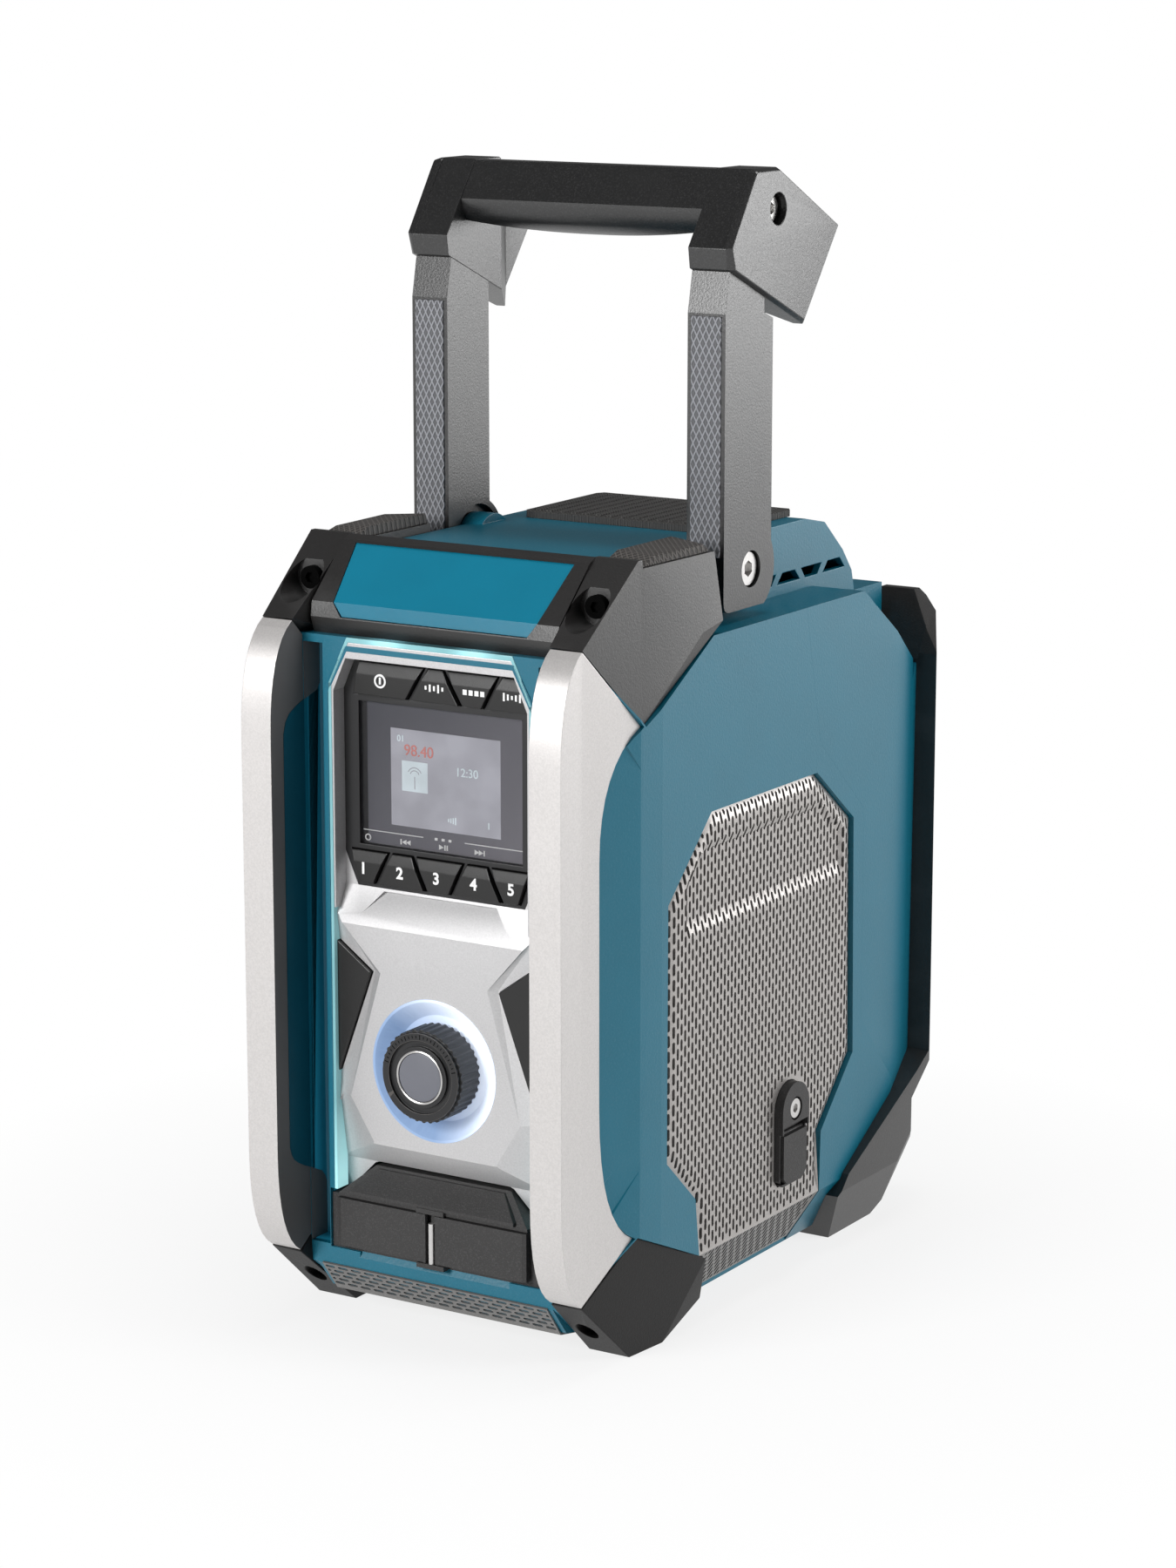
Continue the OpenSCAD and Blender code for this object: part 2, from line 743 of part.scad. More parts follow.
module speaker_cones() color(black) both() turned([
    [0, baffle_x - 9], [8, baffle_x - 10], [12, baffle_x - 13], [speaker_r - 13, baffle_x - 3],
    [speaker_r - 11, baffle_x - 1], [speaker_r - 8, baffle_x - 1], [speaker_r - 6, baffle_x - 2.6],
    [speaker_r - 8, baffle_x - 2.4], [speaker_r - 11, baffle_x - 2.4], [13, baffle_x - 15],
    [11, baffle_x - 19], [10.4, baffle_x - 19], [10.4, baffle_x - 13], [0, baffle_x - 11],
]);

module speaker_magnets() color(grey) both() turned([
    [0, baffle_x - 16], [9.4, baffle_x - 16], [9.4, baffle_x - 22], [27, baffle_x - 22],
    [27, baffle_x - 36], [24, baffle_x - 38], [0, baffle_x - 38],
]);

// ---- control panel ----

nose_z = 154.7; // forward edge above the knob
valley_z = 137.2;
fascia_low = 71.8; // lower edge of the flat that carries the knob
fascia_t = 3;

module fascia_view() {
    polygon([
        [fascia_y + 6, tray_top + 13], [fascia_y, fascia_low], [fascia_y, valley_z],
        [fascia_y - 1.2, nose_z], [display_y - 0.6, 168], [display_y - 0.6, panel_high - 1],
        [display_y + 2.4, panel_high - 1], [display_y + 2.4, 168],
        [fascia_y + 1.8, nose_z], [fascia_y + fascia_t, valley_z], [fascia_y + fascia_t, fascia_low],
        [fascia_y + 9, tray_top + 13],
    ]);
}

side_button_view = [[42.8, 147.5], [28, 137], [42.8, 97]];

// The lower corners, which fill the space beside the visor of the sockets
module fascia_corner() intersection() {
    slab_y(fascia_y, fascia_y + 9) polygon([
        [26, 64], [30.6, 62.4], [42.6, tray_top + 0.4], [panel_x, tray_top + 0.4], [panel_x, 92],
        [38, 90], [26, 73],
    ]);
    slab_x(0, panel_x) polygon([
        [fascia_y, 92], [fascia_y, fascia_low], [fascia_y + 6, tray_top + 13], [fascia_y + 6.4, tray_top],
        [fascia_y + 9, tray_top], [fascia_y + 9, 92],
    ]);
}

// Cuts a slanting facet across a lower corner of the fascia
module corner_facet() {
    inner = [27, fascia_y, fascia_low + 0.7];
    along = [10.2, 0, 16.2];
    outward = [8.8, 5.2, -20.7];
    block([for (s = [0, 1.25], t = [0, 2], out = [0, 9])
        inner + s * along + t * outward - [0, out, 0]]);
}

// A pocket with sloping walls around a side button
module button_pocket() hull() {
    slab_y(fascia_y - 2, fascia_y) polygon([[47, 163], [23.3, valley_z], [37.2, 88.7], [47, 74]]);
    slab_y(fascia_y, fascia_y + 1.8) polygon([[47, 152.6], [26.8, 137.4], [42.4, 95], [47, 88]]);
}

module fascia() color(silver) difference() {
    intersection() {
        union() {
            slab_x(-panel_x, panel_x) fascia_view();
            both() fascia_corner();
        }
        slab_y(-cut, cut) panel_opening(2.2);
    }
    translate([0, 0, knob_z]) rod_y(-cut, 0, halo_r);
    slab_y(-cut, 0) display_outline();
    both() {
        slab_y(-cut, 0) offset(delta = move_gap) polygon(side_button_view);
        button_pocket();
        corner_facet();
    }
    block([
        [-32.5, fascia_y + 0.1, 157.8], [32.5, fascia_y + 0.1, 157.8], [-24.5, display_y + 0.7, 167],
        [24.5, display_y + 0.7, 167], [-32.5, fascia_y - 4, 157.8], [32.5, fascia_y - 4, 157.8],
        [-24.5, fascia_y - 4, 167], [24.5, fascia_y - 4, 167],
    ]);
}

module light_guide() color(clear) difference() {
    slab_y(front - 0.4, display_y + 4) panel_opening(0);
    slab_y(-cut, cut) panel_opening(2.2);
    box([-cut, -cut, 0], [cut, 0, tray_top + 2]);
}

bowl_depth = 5.4; // of the lit bowl that the knob stands in

module halo_ring() color(clear) translate([0, 0, knob_z]) rotate([-90, 0, 0]) rotate_extrude() polygon([
    [6.5, fascia_y + bowl_depth], [knob_r + 2.4, fascia_y + bowl_depth], [halo_r - 1, fascia_y - 0.3],
    [halo_r, fascia_y - 0.3], [halo_r, fascia_y + bowl_depth + 1.6], [6.5, fascia_y + bowl_depth + 1.6],
]);

module display_outline() {
    mirrored_profile([[36.3, 168], [42.5, 182], [42.5, 240.5], [36.4, 253]]);
}

lens_x = 35.2;
lens_low = 183.8;
lens_high = 236.8;

module display_frame() color(black) difference() {
    slab_y(display_y - 0.6, display_y + 9) display_outline();
    box([-lens_x - 0.1, -cut, lens_low - 0.1], [lens_x + 0.1, display_y + 1.7, lens_high + 0.1]);
    box([-30.1, -cut, 187.9], [30.1, cut, 233.1]);
    for (n = [0 : 8]) key_cut(n);
}

module display_lens() color(glass)
    box([-lens_x, display_y, lens_low], [lens_x, display_y + 1.7, lens_high]);

module lcd_module() color(screen)
    box([-30, display_y + 1.7, 188], [30, display_y + 8, 233]);

// Keys 0 to 3 stand above the screen, keys 4 to 8 below it
key_low = [239.6, 169.6];
key_high = [251.6, 181.4];
top_low_x = [-37.4, -12.5, 10.3, 20.1, 40.6];
top_high_x = [-35.4, -5.2, 3, 26.5, 35.2];
low_low_x = [-35.4, -27.6, -5.4, 5.4, 27.6, 35.4];
low_high_x = [-39.6, -21.6, -11, 11, 21.6, 39.6];

module key_view(n) {
    top = n < 4;
    i = top ? n : n - 4;
    low = top ? top_low_x : low_low_x;
    high = top ? top_high_x : low_high_x;
    row = top ? 0 : 1;
    rib = 1;
    polygon([
        [low[i] + rib, key_low[row]], [low[i + 1] - rib, key_low[row]],
        [high[i + 1] - rib, key_high[row]], [high[i] + rib, key_high[row]],
    ]);
}

module key_cut(n) {
    slab_y(-cut, cut) offset(delta = move_gap) key_view(n);
}

module key(n) {
    top = n < 4;
    slab = top ? key_high[0] : key_high[1];
    difference() {
        slab_y(display_y - 2.6, display_y + 6) key_view(n);
        if (top) slab_x(-cut, cut) polygon([
            [display_y - 4, slab - 9], [display_y - 4, slab + 1], [display_y - 1, slab + 1],
        ]);
        else slab_x(-cut, cut) polygon([
            [display_y - 4, slab - 10], [display_y - 4, slab + 1], [display_y - 1.4, slab + 1],
        ]);
    }
}

module power_button() color(black) key(0);
module source_button() color(black) key(1);
module menu_button() color(black) key(2);
module info_button() color(black) key(3);
module preset_button_1() color(black) key(4);
module preset_button_2() color(black) key(5);
module preset_button_3() color(black) key(6);
module preset_button_4() color(black) key(7);
module preset_button_5() color(black) key(8);

module side_button() slab_y(fascia_y + 0.2, fascia_y + 5) polygon(side_button_view);
module tune_button() color(black) mirror([1, 0, 0]) side_button();
module tone_button() color(black) side_button();

module encoder() color(grey) translate([0, 0, knob_z]) difference() {
    union() {
        box([-7, fascia_y + 7, -7], [7, board_y, 7]);
        rod_y(fascia_y + bowl_depth + 0.2, fascia_y + 8, 5);
    }
    rod_y(-cut, fascia_y + 11, 3 + turn_gap);
    rod_y(-cut, fascia_y + 13, 2 + turn_gap);
}

module encoder_plunger() color(steel) translate([0, 0, knob_z])
    rod_y(fascia_y + 9, fascia_y + 13 - knob_travel - 0.4, 2);

module encoder_shaft() color(steel) translate([0, 0, knob_z]) difference() {
    rod_y(fascia_y - knob_h + 4, fascia_y + 11 - knob_travel - 0.4, 3);
    rod_y(fascia_y + 8, fascia_y + 12, 2 + turn_gap);
}

// Outline of the knob's ribbed side
module knurl(r, depth, ribs) {
    polygon([for (i = [0 : 4 * ribs - 1]) let (a = i * 90 / ribs)
        (i % 4 < 2 ? r : r - depth) * [cos(a), sin(a)]]);
}

module knob() color(black) translate([0, 0, knob_z]) {
    face = fascia_y - knob_h;
    back = fascia_y + bowl_depth - knob_travel - 0.4;
    difference() {
        union() {
            rod_y(face, back, knob_r - 1);
            slab_y(face + 1.4, back) knurl(knob_r, 0.6, 36);
        }
        difference() {
            rod_y(face - 1, face + 1.2, knob_r - 3.8);
            rod_y(face - 2, face + 2, knob_r - 6);
        }
        rod_y(face + 4, cut, 3);
    }
}

// ---- sockets and their rubber covers ----

// A sloping hood over the sockets; a smaller one on top of it makes its step
module visor(low_x, high_x, rise) {
    back = fascia_y + 11;
    block([
        for (x = [-1, 1], z = [0, 1.2]) [x * low_x, fascia_y - 2.4 - rise, tray_top + z + 1.6 * rise],
        for (x = [-1, 1]) [x * high_x, fascia_y + 5.4 - 1.6 * rise, tray_top + 11.6 - 0.8 * rise],
        for (x = [-1, 1]) [x * high_x, back, tray_top + 11.6 - 0.8 * rise],
        for (x = [-1, 1]) [x * low_x, back, tray_top + 1.6 * rise],
    ]);
}

module port_tray() color(black) difference() {
    union() {
        box([-panel_x, fascia_y, panel_low], [panel_x, fascia_y + 12, tray_top]);
        visor(41.6, 29.8, 0);
        visor(36.2, 27.8, 1);
        for (z = [panel_low, tray_top]) box([-6, flap_y - 1.3, z], [6, fascia_y, z + 1.8]);
        box([-1, fascia_y - 1.2, panel_low], [1, fascia_y, tray_top]);
    }
    box([-30, -cut, port_z - 7], [-12, fascia_y + 10, port_z + 7]);
    box([14, -cut, port_z - 6], [26, fascia_y + 10, port_z + 6]);
    translate([-21, 0, port_z]) box([-7.6, -cut, -3.9], [7.6, cut, 3.9]);
    translate([20, 0, port_z]) rod_y(-cut, cut, 4);
    port_rod_solid();
    both() translate([-flap_x, flap_y, 0]) cylinder(r = 0.8 + turn_gap, h = tray_top + 1.4);
}

module usb_socket() color(steel) translate([-21, 0, port_z]) difference() {
    box([-7.6, fascia_y + 6, -3.9], [7.6, board_y, 3.9]);
    box([-6.3, fascia_y, -2.7], [6.3, board_y - 1, 2.7]);
}

module aux_socket() color(grey) translate([20, 0, port_z]) difference() {
    rod_y(fascia_y + 6, board_y, 4);
    rod_y(fascia_y, board_y - 1, 1.8);
}

module port_rod_solid() {
    translate([0, flap_y, panel_low + 0.8]) cylinder(r = rod_r, h = 16.5);
}

module port_rod() color(steel) port_rod_solid();

// The rubber cover on the left; it swings about pins at its inner edge
module flap() {
    back = fascia_y - 0.35;
    z0 = panel_low + 2.2;
    z1 = tray_top - 0.4;
    slab_z(z0, z1) polygon([
        [-41.6, back - cover_t + 0.6], [-40, back - cover_t], [-flap_x + 0.8, back - cover_t],
        [-flap_x + 0.8, flap_y + 0.8], [-flap_x - 1, back], [-41.6, back],
    ]);
    translate([-flap_x, flap_y, z0 - 1.6]) cylinder(r = 0.8, h = z1 - z0 + 3);
}

module usb_cover() color(black) flap();
module aux_cover() color(black) mirror([1, 0, 0]) flap();

module dc_jack_body() {
    translate([0, dc_y, dc_jack_z]) rod_x(baffle_x - 12, side_x - 1.2, 5.5);
}

module dc_jack() color(black) difference() {
    dc_jack_body();
    translate([0, dc_y, dc_jack_z]) difference() {
        rod_x(baffle_x - 8, side_x, 3.2);
        rod_x(baffle_x - 9, side_x - 3, 1.05);
    }
}

module dc_cover_base() color(black) difference() {
    union() {
        slab_x(side_x - wall, side_x + 3.4) dc_outline(dc_split - 3, 80);
        slab_x(side_x - wall, side_x + 2) dc_outline(dc_low, dc_split + 2);
    }
    slab_x(side_x - 1.6, cut) translate([dc_y - dc_half + 1, dc_low + 1])
        square([2 * dc_half - 2, dc_split - dc_low - 0.4]);
    slab_x(side_x + 0.1, cut) translate([dc_y - dc_half + 1, dc_split])
        square([2 * dc_half - 2, 3.2]);
    slab_x(side_x + 2, cut) translate([dc_y - dc_half - 1, dc_low - 1])
        square([2 * dc_half + 2, dc_split - dc_low + 1.4]);
    translate([0, dc_y, dc_screw_z]) {
        rod_x(side_x + 1, cut, 4.6);
        rod_x(0, cut, 1.9);
    }
    dc_jack_body();
    dc_pin(0.8 + turn_gap, 0.5);
}

module dc_pin(r, extra) {
    half = dc_half - 0.6 + extra;
    translate([side_x + 0.5, dc_y - half, dc_split - 0.4]) rotate([-90, 0, 0])
        cylinder(r = r, h = 2 * half);
}

module dc_cover() color(black) {
    half = dc_half - 1 - move_gap;
    slab_x(side_x + 0.4, side_x + 3.2) polygon([
        [dc_y - half, dc_low + 4], [dc_y - half + 2.6, dc_low + 1.4],
        [dc_y + half - 2.6, dc_low + 1.4], [dc_y + half, dc_low + 4],
        [dc_y + half, dc_split - 0.4], [dc_y - half, dc_split - 0.4],
    ]);
    dc_pin(0.8, 0);
}

// ---- inside ----

module main_board() color(board_green) {
    box([-38, board_y, panel_low + 5], [38, board_y + 1.6, 236]);
    box([-30, board_y + 1.6, 180], [-6, board_y + 6, 204]);
    box([6, board_y + 1.6, 150], [30, board_y + 9, 190]);
    for (i = [0 : 3]) translate([-28 + i * 12, 0, 92]) rod_y(board_y + 1.6, board_y + 12, 4);
}

module battery_terminals() color(brass) {
    inner = casing_back - bay_depth;
    box([-20, inner, 120], [20, inner + 4, 150]);
    for (x = [-13, 0, 13]) box([x - 1, inner + 4, 124], [x + 1, inner + 12, 146]);
}

// ---- screws ----

module cap_screw(head_r, head_h, shank_r, length) {
    difference() {
        union() {
            cylinder(r = head_r, h = head_h);
            translate([0, 0, head_h]) cylinder(r = shank_r, h = length);
        }
        translate([0, 0, -1]) cylinder(r = head_r * 0.5, h = head_h * 0.6 + 1, $fn = 6);
    }
}

module casing_screws() color(steel) {
    both() translate([61.3, -130 + 12 + well_depth - 3, 278.8]) rotate([-90, 0, 0])
        cap_screw(4.2, 3, 1.9, 8);
    both() translate([60.5, -103, 13]) rotate([-90, 0, 0]) cap_screw(3.6, 3, 1.9, 14);
    both() at_speaker_screws(baffle_x - 3.8) rotate([0, 90, 0]) cap_screw(2, 1.6, 1, 3.8);
    translate([side_x + 3, dc_y, dc_screw_z]) rotate([0, -90, 0]) cap_screw(3.8, 2, 1.9, 4);
}

module pivot_screws() color(steel) both()
    translate([arm_out - 1.2, pivot_y, pivot_z]) rotate([0, -90, 0])
        cap_screw(6.2, 3.4, pivot_r, arm_out - 4.6 - bump_x + wall + 3);

// ---- handle ----

// Height of the slanting lower edge of the corner blocks
function block_low(y) = handle_top - 35 - (y + 28) * 24.1 / 56.8;

arm_front = pivot_y - arm_reach;
arm_back = pivot_y + arm_heel;
arm_foot = pivot_z - 14.2; // flat lower end of an arm
pad_low = pivot_z + 6.5;
pad_top = handle_top - 51.8;
block_front = -29.2;
tenon_top = handle_top - 25.5;
screw_drop = 15; // from the top of the handle to its screws
corner_out = arm_out + corner_rise;

module arm_view() {
    polygon(concat(
        [[arm_front, pad_top + 1], [arm_front + 3, block_low(arm_front + 3)],
        [arm_back, block_low(arm_back)], [arm_back, pivot_z], [pivot_y, arm_foot]],
        bend([arm_front + 4.4, arm_foot], [arm_front, arm_foot], [arm_front, arm_foot + 4.4], 4)
    ));
    intersection() {
        translate([pivot_y, pivot_z]) circle(r = arm_round);
        translate([pivot_y - arm_round, arm_foot]) square([2 * arm_round, arm_round * 2]);
    }
}

module handle_arms() color(black) both() difference() {
    union() {
        slab_x(arm_in, arm_out) arm_view();
        slab_x(arm_out - 6, arm_out - 1.4) polygon([
            [arm_back - 1, 272], [pivot_y + arm_round, pivot_z],
            [pivot_y + arm_round, block_low(pivot_y + arm_round) - 4.6],
            [arm_back - 1, block_low(arm_back) - 4.6],
        ]);
        slab_x(arm_in + 4, arm_out - 4) polygon([
            [-24, pad_top], [-24, tenon_top - 0.1], [-4, tenon_top - 0.1], [-4, pad_top],
        ]);
    }
    translate([0, pivot_y, pivot_z]) {
        rod_x(0, cut, pivot_r + turn_gap);
        rod_x(arm_out - 5, cut, 6.9);
        rod_x(0, arm_in + 2.6, boss_r + 3);
    }
    slab_x(arm_in + 1.6, arm_out - 1.6) polygon([
        [-cut, pad_low], [-cut, pad_top], [arm_front + 1.5, pad_top], [arm_front + 1.5, pad_low],
    ]);
}

module arm_pads() color(grey) both()
    box([arm_in + 1.6, arm_front - 0.6, pad_low], [arm_out - 1.6, arm_front + 1.5, pad_top]);

corner_view = [
    [-28, block_low(-28)], [block_front, handle_top - 27.3], [-9, handle_top], [7.4, handle_top],
    [55.2, handle_top - 24], [28.8, block_low(28.8)],
];
// The outer face, inside the bevels around it
corner_face = [
    [-25.6, block_low(-28) - 0.2], [block_front + 1, handle_top - 27], [-10.6, handle_top - 1],
    [6.4, handle_top - 1], [51.4, handle_top - 23.8], [25.8, block_low(28.8) + 2],
];

// Behind the arm a block thins out to its outer wall
module corner_block() intersection() {
    union() {
        slab_x(arm_in, arm_out - 0.2) polygon(corner_view);
        hull() {
            slab_x(arm_out - 1.4, arm_out - 0.2) polygon(corner_view);
            slab_x(arm_out - 1.4, corner_out) polygon(corner_face);
        }
    }
    slab_z(0, cut * 3) polygon([
        [arm_in, -40], [corner_out, -40], [corner_out, 70], [corner_out - 3.4, 70],
        [corner_out - 3.4, 34], [arm_in, 8.6],
    ]);
}

module handle_corners() color(black) both() difference() {
    corner_block();
    slab_x(arm_in + 3.9, arm_out - 3.9) polygon([
        [-24.1, pad_top - 20], [-24.1, tenon_top], [-3.9, tenon_top], [-3.9, pad_top - 20],
    ]);
    handle_screw_place() {
        rod_x(corner_out - 6, cut, 5.9);
        rod_x(0, cut, 1.9);
    }
}

grip_y = -5.6;
grip_z = handle_top - 13.1;
grip_end = arm_in;

module hand_grip() color(black) difference() {
    intersection() {
        translate([0, grip_y, grip_z]) rod_x(-grip_end, grip_end, grip_r);
        slab_x(-grip_end, grip_end) polygon([
            [-9, handle_top - 0.4], [block_front + 0.6, handle_top - 27.3], [-20, handle_top - 45],
            [30, handle_top - 45], [30, handle_top - 0.4],
        ]);
        slab_y(-cut, cut) polygon(concat(
            [[-grip_end, handle_top + 10]],
            bend([-grip_end, grip_z - 9.5], [0, grip_z - 17], [grip_end, grip_z - 9.5], 16),
            [[grip_end, handle_top + 10]]
        ));
    }
    both() handle_screw_place() rod_x(grip_end - 13, grip_end + 1, 1.9);
}

module handle_screw_place() {
    translate([0, 5.4, handle_top - screw_drop]) children();
}

module handle_screws() color(steel) both() handle_screw_place()
    translate([corner_out - 3, 0, 0]) rotate([0, -90, 0]) cap_screw(4.6, 3, 1.9, corner_out - grip_end + 6);

// ---- battery door ----

door_back = casing_back + move_gap;
door_face = casing_back + door_t;

module battery_door() color(teal) {
    difference() {
        union() {
            difference() {
                box([-door_x, door_back, hinge_z], [door_x, door_face, door_high]);
                box([-bay_x + 6, door_back - 1, bay_low + 6], [bay_x - 6, door_back + 1.6, bay_high - 16]);
                for (i = [0 : 6]) box([-30, door_face - 0.8, 84 + i * 16], [30, cut, 92 + i * 16]);
            }
            translate([0, hinge_y, hinge_z]) rod_x(-door_x, door_x, hinge_r);
        }
        box([-13, 0, bay_high - 13], [13, door_face - 1.7, door_high + 1]);
        box([-8, 0, bay_high - 9], [8, cut, bay_high + 4]);
    }
    translate([0, hinge_y, hinge_z]) rod_x(-door_x - 4.5, door_x + 4.5, 1.6);
}

// A spring-loaded plate in the door: its nose sits in the slot above the bay
module door_latch() color(black) {
    box([-12.6, door_back + 0.2, bay_high - 9.5], [12.6, door_face - 2.1, bay_high + 7]);
    box([-7.6, door_face - 3, bay_high - 5.5], [7.6, door_face + 0.6, bay_high + 3.5]);
    box([-10, casing_back - wall + 0.4, bay_high + 4.9], [10, door_back + 1, bay_high + 7]);
}

// ---- the pieces ----

front_housing();
rear_housing();
side_cover_left();
side_cover_right();
top_cover();
top_pad();
top_bumper();
nameplate();
corner_pads();
roll_bars();
front_feet();
rear_guards();
grille_left();
grille_right();
belly_grille();
speaker_baffles();
speaker_frames();
speaker_cones();
speaker_magnets();
fascia();
light_guide();
halo_ring();
display_frame();
display_lens();
lcd_module();
port_tray();
usb_socket();
aux_socket();
port_rod();
main_board();
battery_terminals();
dc_jack();
dc_cover_base();
casing_screws();
pivot_screws();
encoder();
handle_arms();
handle_corners();
hand_grip();
arm_pads();
handle_screws();
encoder_plunger();
encoder_shaft();
knob();
power_button();
source_button();
menu_button();
info_button();
preset_button_1();
preset_button_2();
preset_button_3();
preset_button_4();
preset_button_5();
tune_button();
tone_button();
usb_cover();
aux_cover();
dc_cover();
battery_door();
door_latch();
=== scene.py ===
import json
import math

import bmesh
import bpy
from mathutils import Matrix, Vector
from mathutils.geometry import delaunay_2d_cdt


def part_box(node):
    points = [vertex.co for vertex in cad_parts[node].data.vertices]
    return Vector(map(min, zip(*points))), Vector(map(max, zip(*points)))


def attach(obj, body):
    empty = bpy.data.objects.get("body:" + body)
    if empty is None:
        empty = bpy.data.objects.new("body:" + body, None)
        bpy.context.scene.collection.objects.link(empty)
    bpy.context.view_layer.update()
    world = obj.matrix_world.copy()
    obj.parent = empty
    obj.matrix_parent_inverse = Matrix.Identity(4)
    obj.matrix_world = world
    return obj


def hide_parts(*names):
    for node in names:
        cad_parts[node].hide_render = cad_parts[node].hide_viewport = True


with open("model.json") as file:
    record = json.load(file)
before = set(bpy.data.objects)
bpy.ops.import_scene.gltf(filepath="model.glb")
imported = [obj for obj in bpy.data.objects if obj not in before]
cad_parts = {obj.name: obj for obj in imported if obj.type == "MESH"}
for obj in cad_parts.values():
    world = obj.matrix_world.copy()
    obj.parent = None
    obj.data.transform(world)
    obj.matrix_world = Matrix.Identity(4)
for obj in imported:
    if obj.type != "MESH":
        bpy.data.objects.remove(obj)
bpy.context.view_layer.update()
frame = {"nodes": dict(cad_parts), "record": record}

# The looks of a jobsite radio: rounded edges and materials on the CAD nodes, finely perforated sheets,
# channels and lit bands beside the panel, the marks on screen, keys and knob, and a white studio.

MM = 0.001
NODES = frame["nodes"]
BODY_OF = {node: body for body, nodes in frame["record"]["behaviour"]["bodies"].items() for node in nodes}

# Places that several pieces share, in millimetres, in the frame's own axes: x across, y to the back, z up
FRONT = -120.5        # plane of the casing's front
SCREEN = -113.5       # plane of the display's frame
KNOB_Z = 103.6        # height of the knob's axis
BAR_IN = 55.2         # plane of a roll bar's inner flank
SIDE = 75.0           # plane of the casing's side
TURN_Z = 28.0         # height where the side turns in towards the belly
BELLY = (60.0, 5.0)   # x and z where the turned-in wall ends
SPEAKER = (-8.0, 124.0)  # y and z of the speakers' axis
CAP = 12.0            # radius of a speaker's middle cap


# ---------------------------------------------------------------- materials

class Nodes:
    """A short way to build a material's node tree, whose shader is bsdf."""

    def __init__(self, name):
        self.mat = bpy.data.materials.new(name)
        self.mat.use_nodes = True
        self.tree = self.mat.node_tree
        self.bsdf = self.tree.nodes["Principled BSDF"]
        self.coords = self.add("ShaderNodeTexCoord")

    def add(self, kind, **inputs):
        """A node with these input values; a name with _ before it sets a property, and __ is a space."""
        node = self.tree.nodes.new(kind)
        for key, value in inputs.items():
            if key.startswith("_"):
                setattr(node, key[1:], value)
            else:
                node.inputs[key.replace("__", " ")].default_value = value
        return node

    def link(self, a, b):
        self.tree.links.new(a, b)

    def noise(self, scale, detail=2.0, stretch=None):
        texture = self.add("ShaderNodeTexNoise", Scale=scale, Detail=detail)
        place = self.coords.outputs["Object"]
        if stretch is not None:
            mapping = self.add("ShaderNodeMapping", Scale=stretch)
            self.link(place, mapping.inputs["Vector"])
            place = mapping.outputs["Vector"]
        self.link(place, texture.inputs["Vector"])
        return texture.outputs["Fac"]

    def axes(self):
        """The place's x, y and z, in metres."""
        split = self.add("ShaderNodeSeparateXYZ")
        self.link(self.coords.outputs["Object"], split.inputs[0])
        return split.outputs

    def far_from(self, a, b, middle=(0, 0)):
        """How far two axes' values lie from a middle point, in metres."""
        squares = []
        for axis, at in zip((a, b), middle):
            away = self.math("SUBTRACT", axis, at)
            squares.append(self.math("MULTIPLY", away, away))
        return self.math("SQRT", self.math("ADD", *squares))

    def ramp(self, fac, a, b, low=0.35, high=0.65):
        """Colour a up to low and b from high on."""
        ramp = self.add("ShaderNodeValToRGB")
        for element, position, color in zip(ramp.color_ramp.elements, (low, high), (a, b)):
            element.position = position
            element.color = (*color, 1)
        self.link(fac, ramp.inputs["Fac"])
        return ramp.outputs["Color"]

    def blend(self, fac, a, b):
        """Colour a where fac is 0 and b where it is 1; either may be a socket."""
        mix = self.add("ShaderNodeMix", _data_type="RGBA", _clamp_factor=True)
        self.link(fac, mix.inputs["Factor"])
        for key, value in (("A", a), ("B", b)):
            socket = next(s for s in mix.inputs if s.name == key and s.type == "RGBA")
            if isinstance(value, tuple):
                socket.default_value = (*value, 1)
            else:
                self.link(value, socket)
        return next(s for s in mix.outputs if s.type == "RGBA")

    def spread(self, fac, low, high, start=0.0, stop=1.0):
        """Runs from low, where fac is start, to high, where it is stop."""
        span = self.add("ShaderNodeMapRange", To__Min=low, To__Max=high, From__Min=start, From__Max=stop)
        self.link(fac, span.inputs["Value"])
        return span.outputs["Result"]

    def math(self, operation, a, b=None):
        node = self.add("ShaderNodeMath", _operation=operation)
        for socket, value in zip(node.inputs, (a, b)):
            if isinstance(value, (int, float)):
                socket.default_value = value
            elif value is not None:
                self.link(value, socket)
        return node.outputs[0]

    def bump(self, height, distance, below=None):
        bump = self.add("ShaderNodeBump", Distance=distance, Strength=1.0)
        self.link(height, bump.inputs["Height"])
        if below is not None:
            self.link(below, bump.inputs["Normal"])
        self.link(bump.outputs["Normal"], self.bsdf.inputs["Normal"])
        return bump.outputs["Normal"]

    def feed(self, **sockets):
        """Links outputs to the shader's inputs of these names."""
        for key, output in sockets.items():
            self.link(output, self.bsdf.inputs[key.replace("__", " ")])

    def set(self, **values):
        """Gives the shader's inputs of these names a constant."""
        for key, value in values.items():
            self.bsdf.inputs[key.replace("__", " ")].default_value = value


def shade(color, share):
    """A colour made lighter or darker by a share."""
    return tuple(min(1.0, value * share) for value in color)


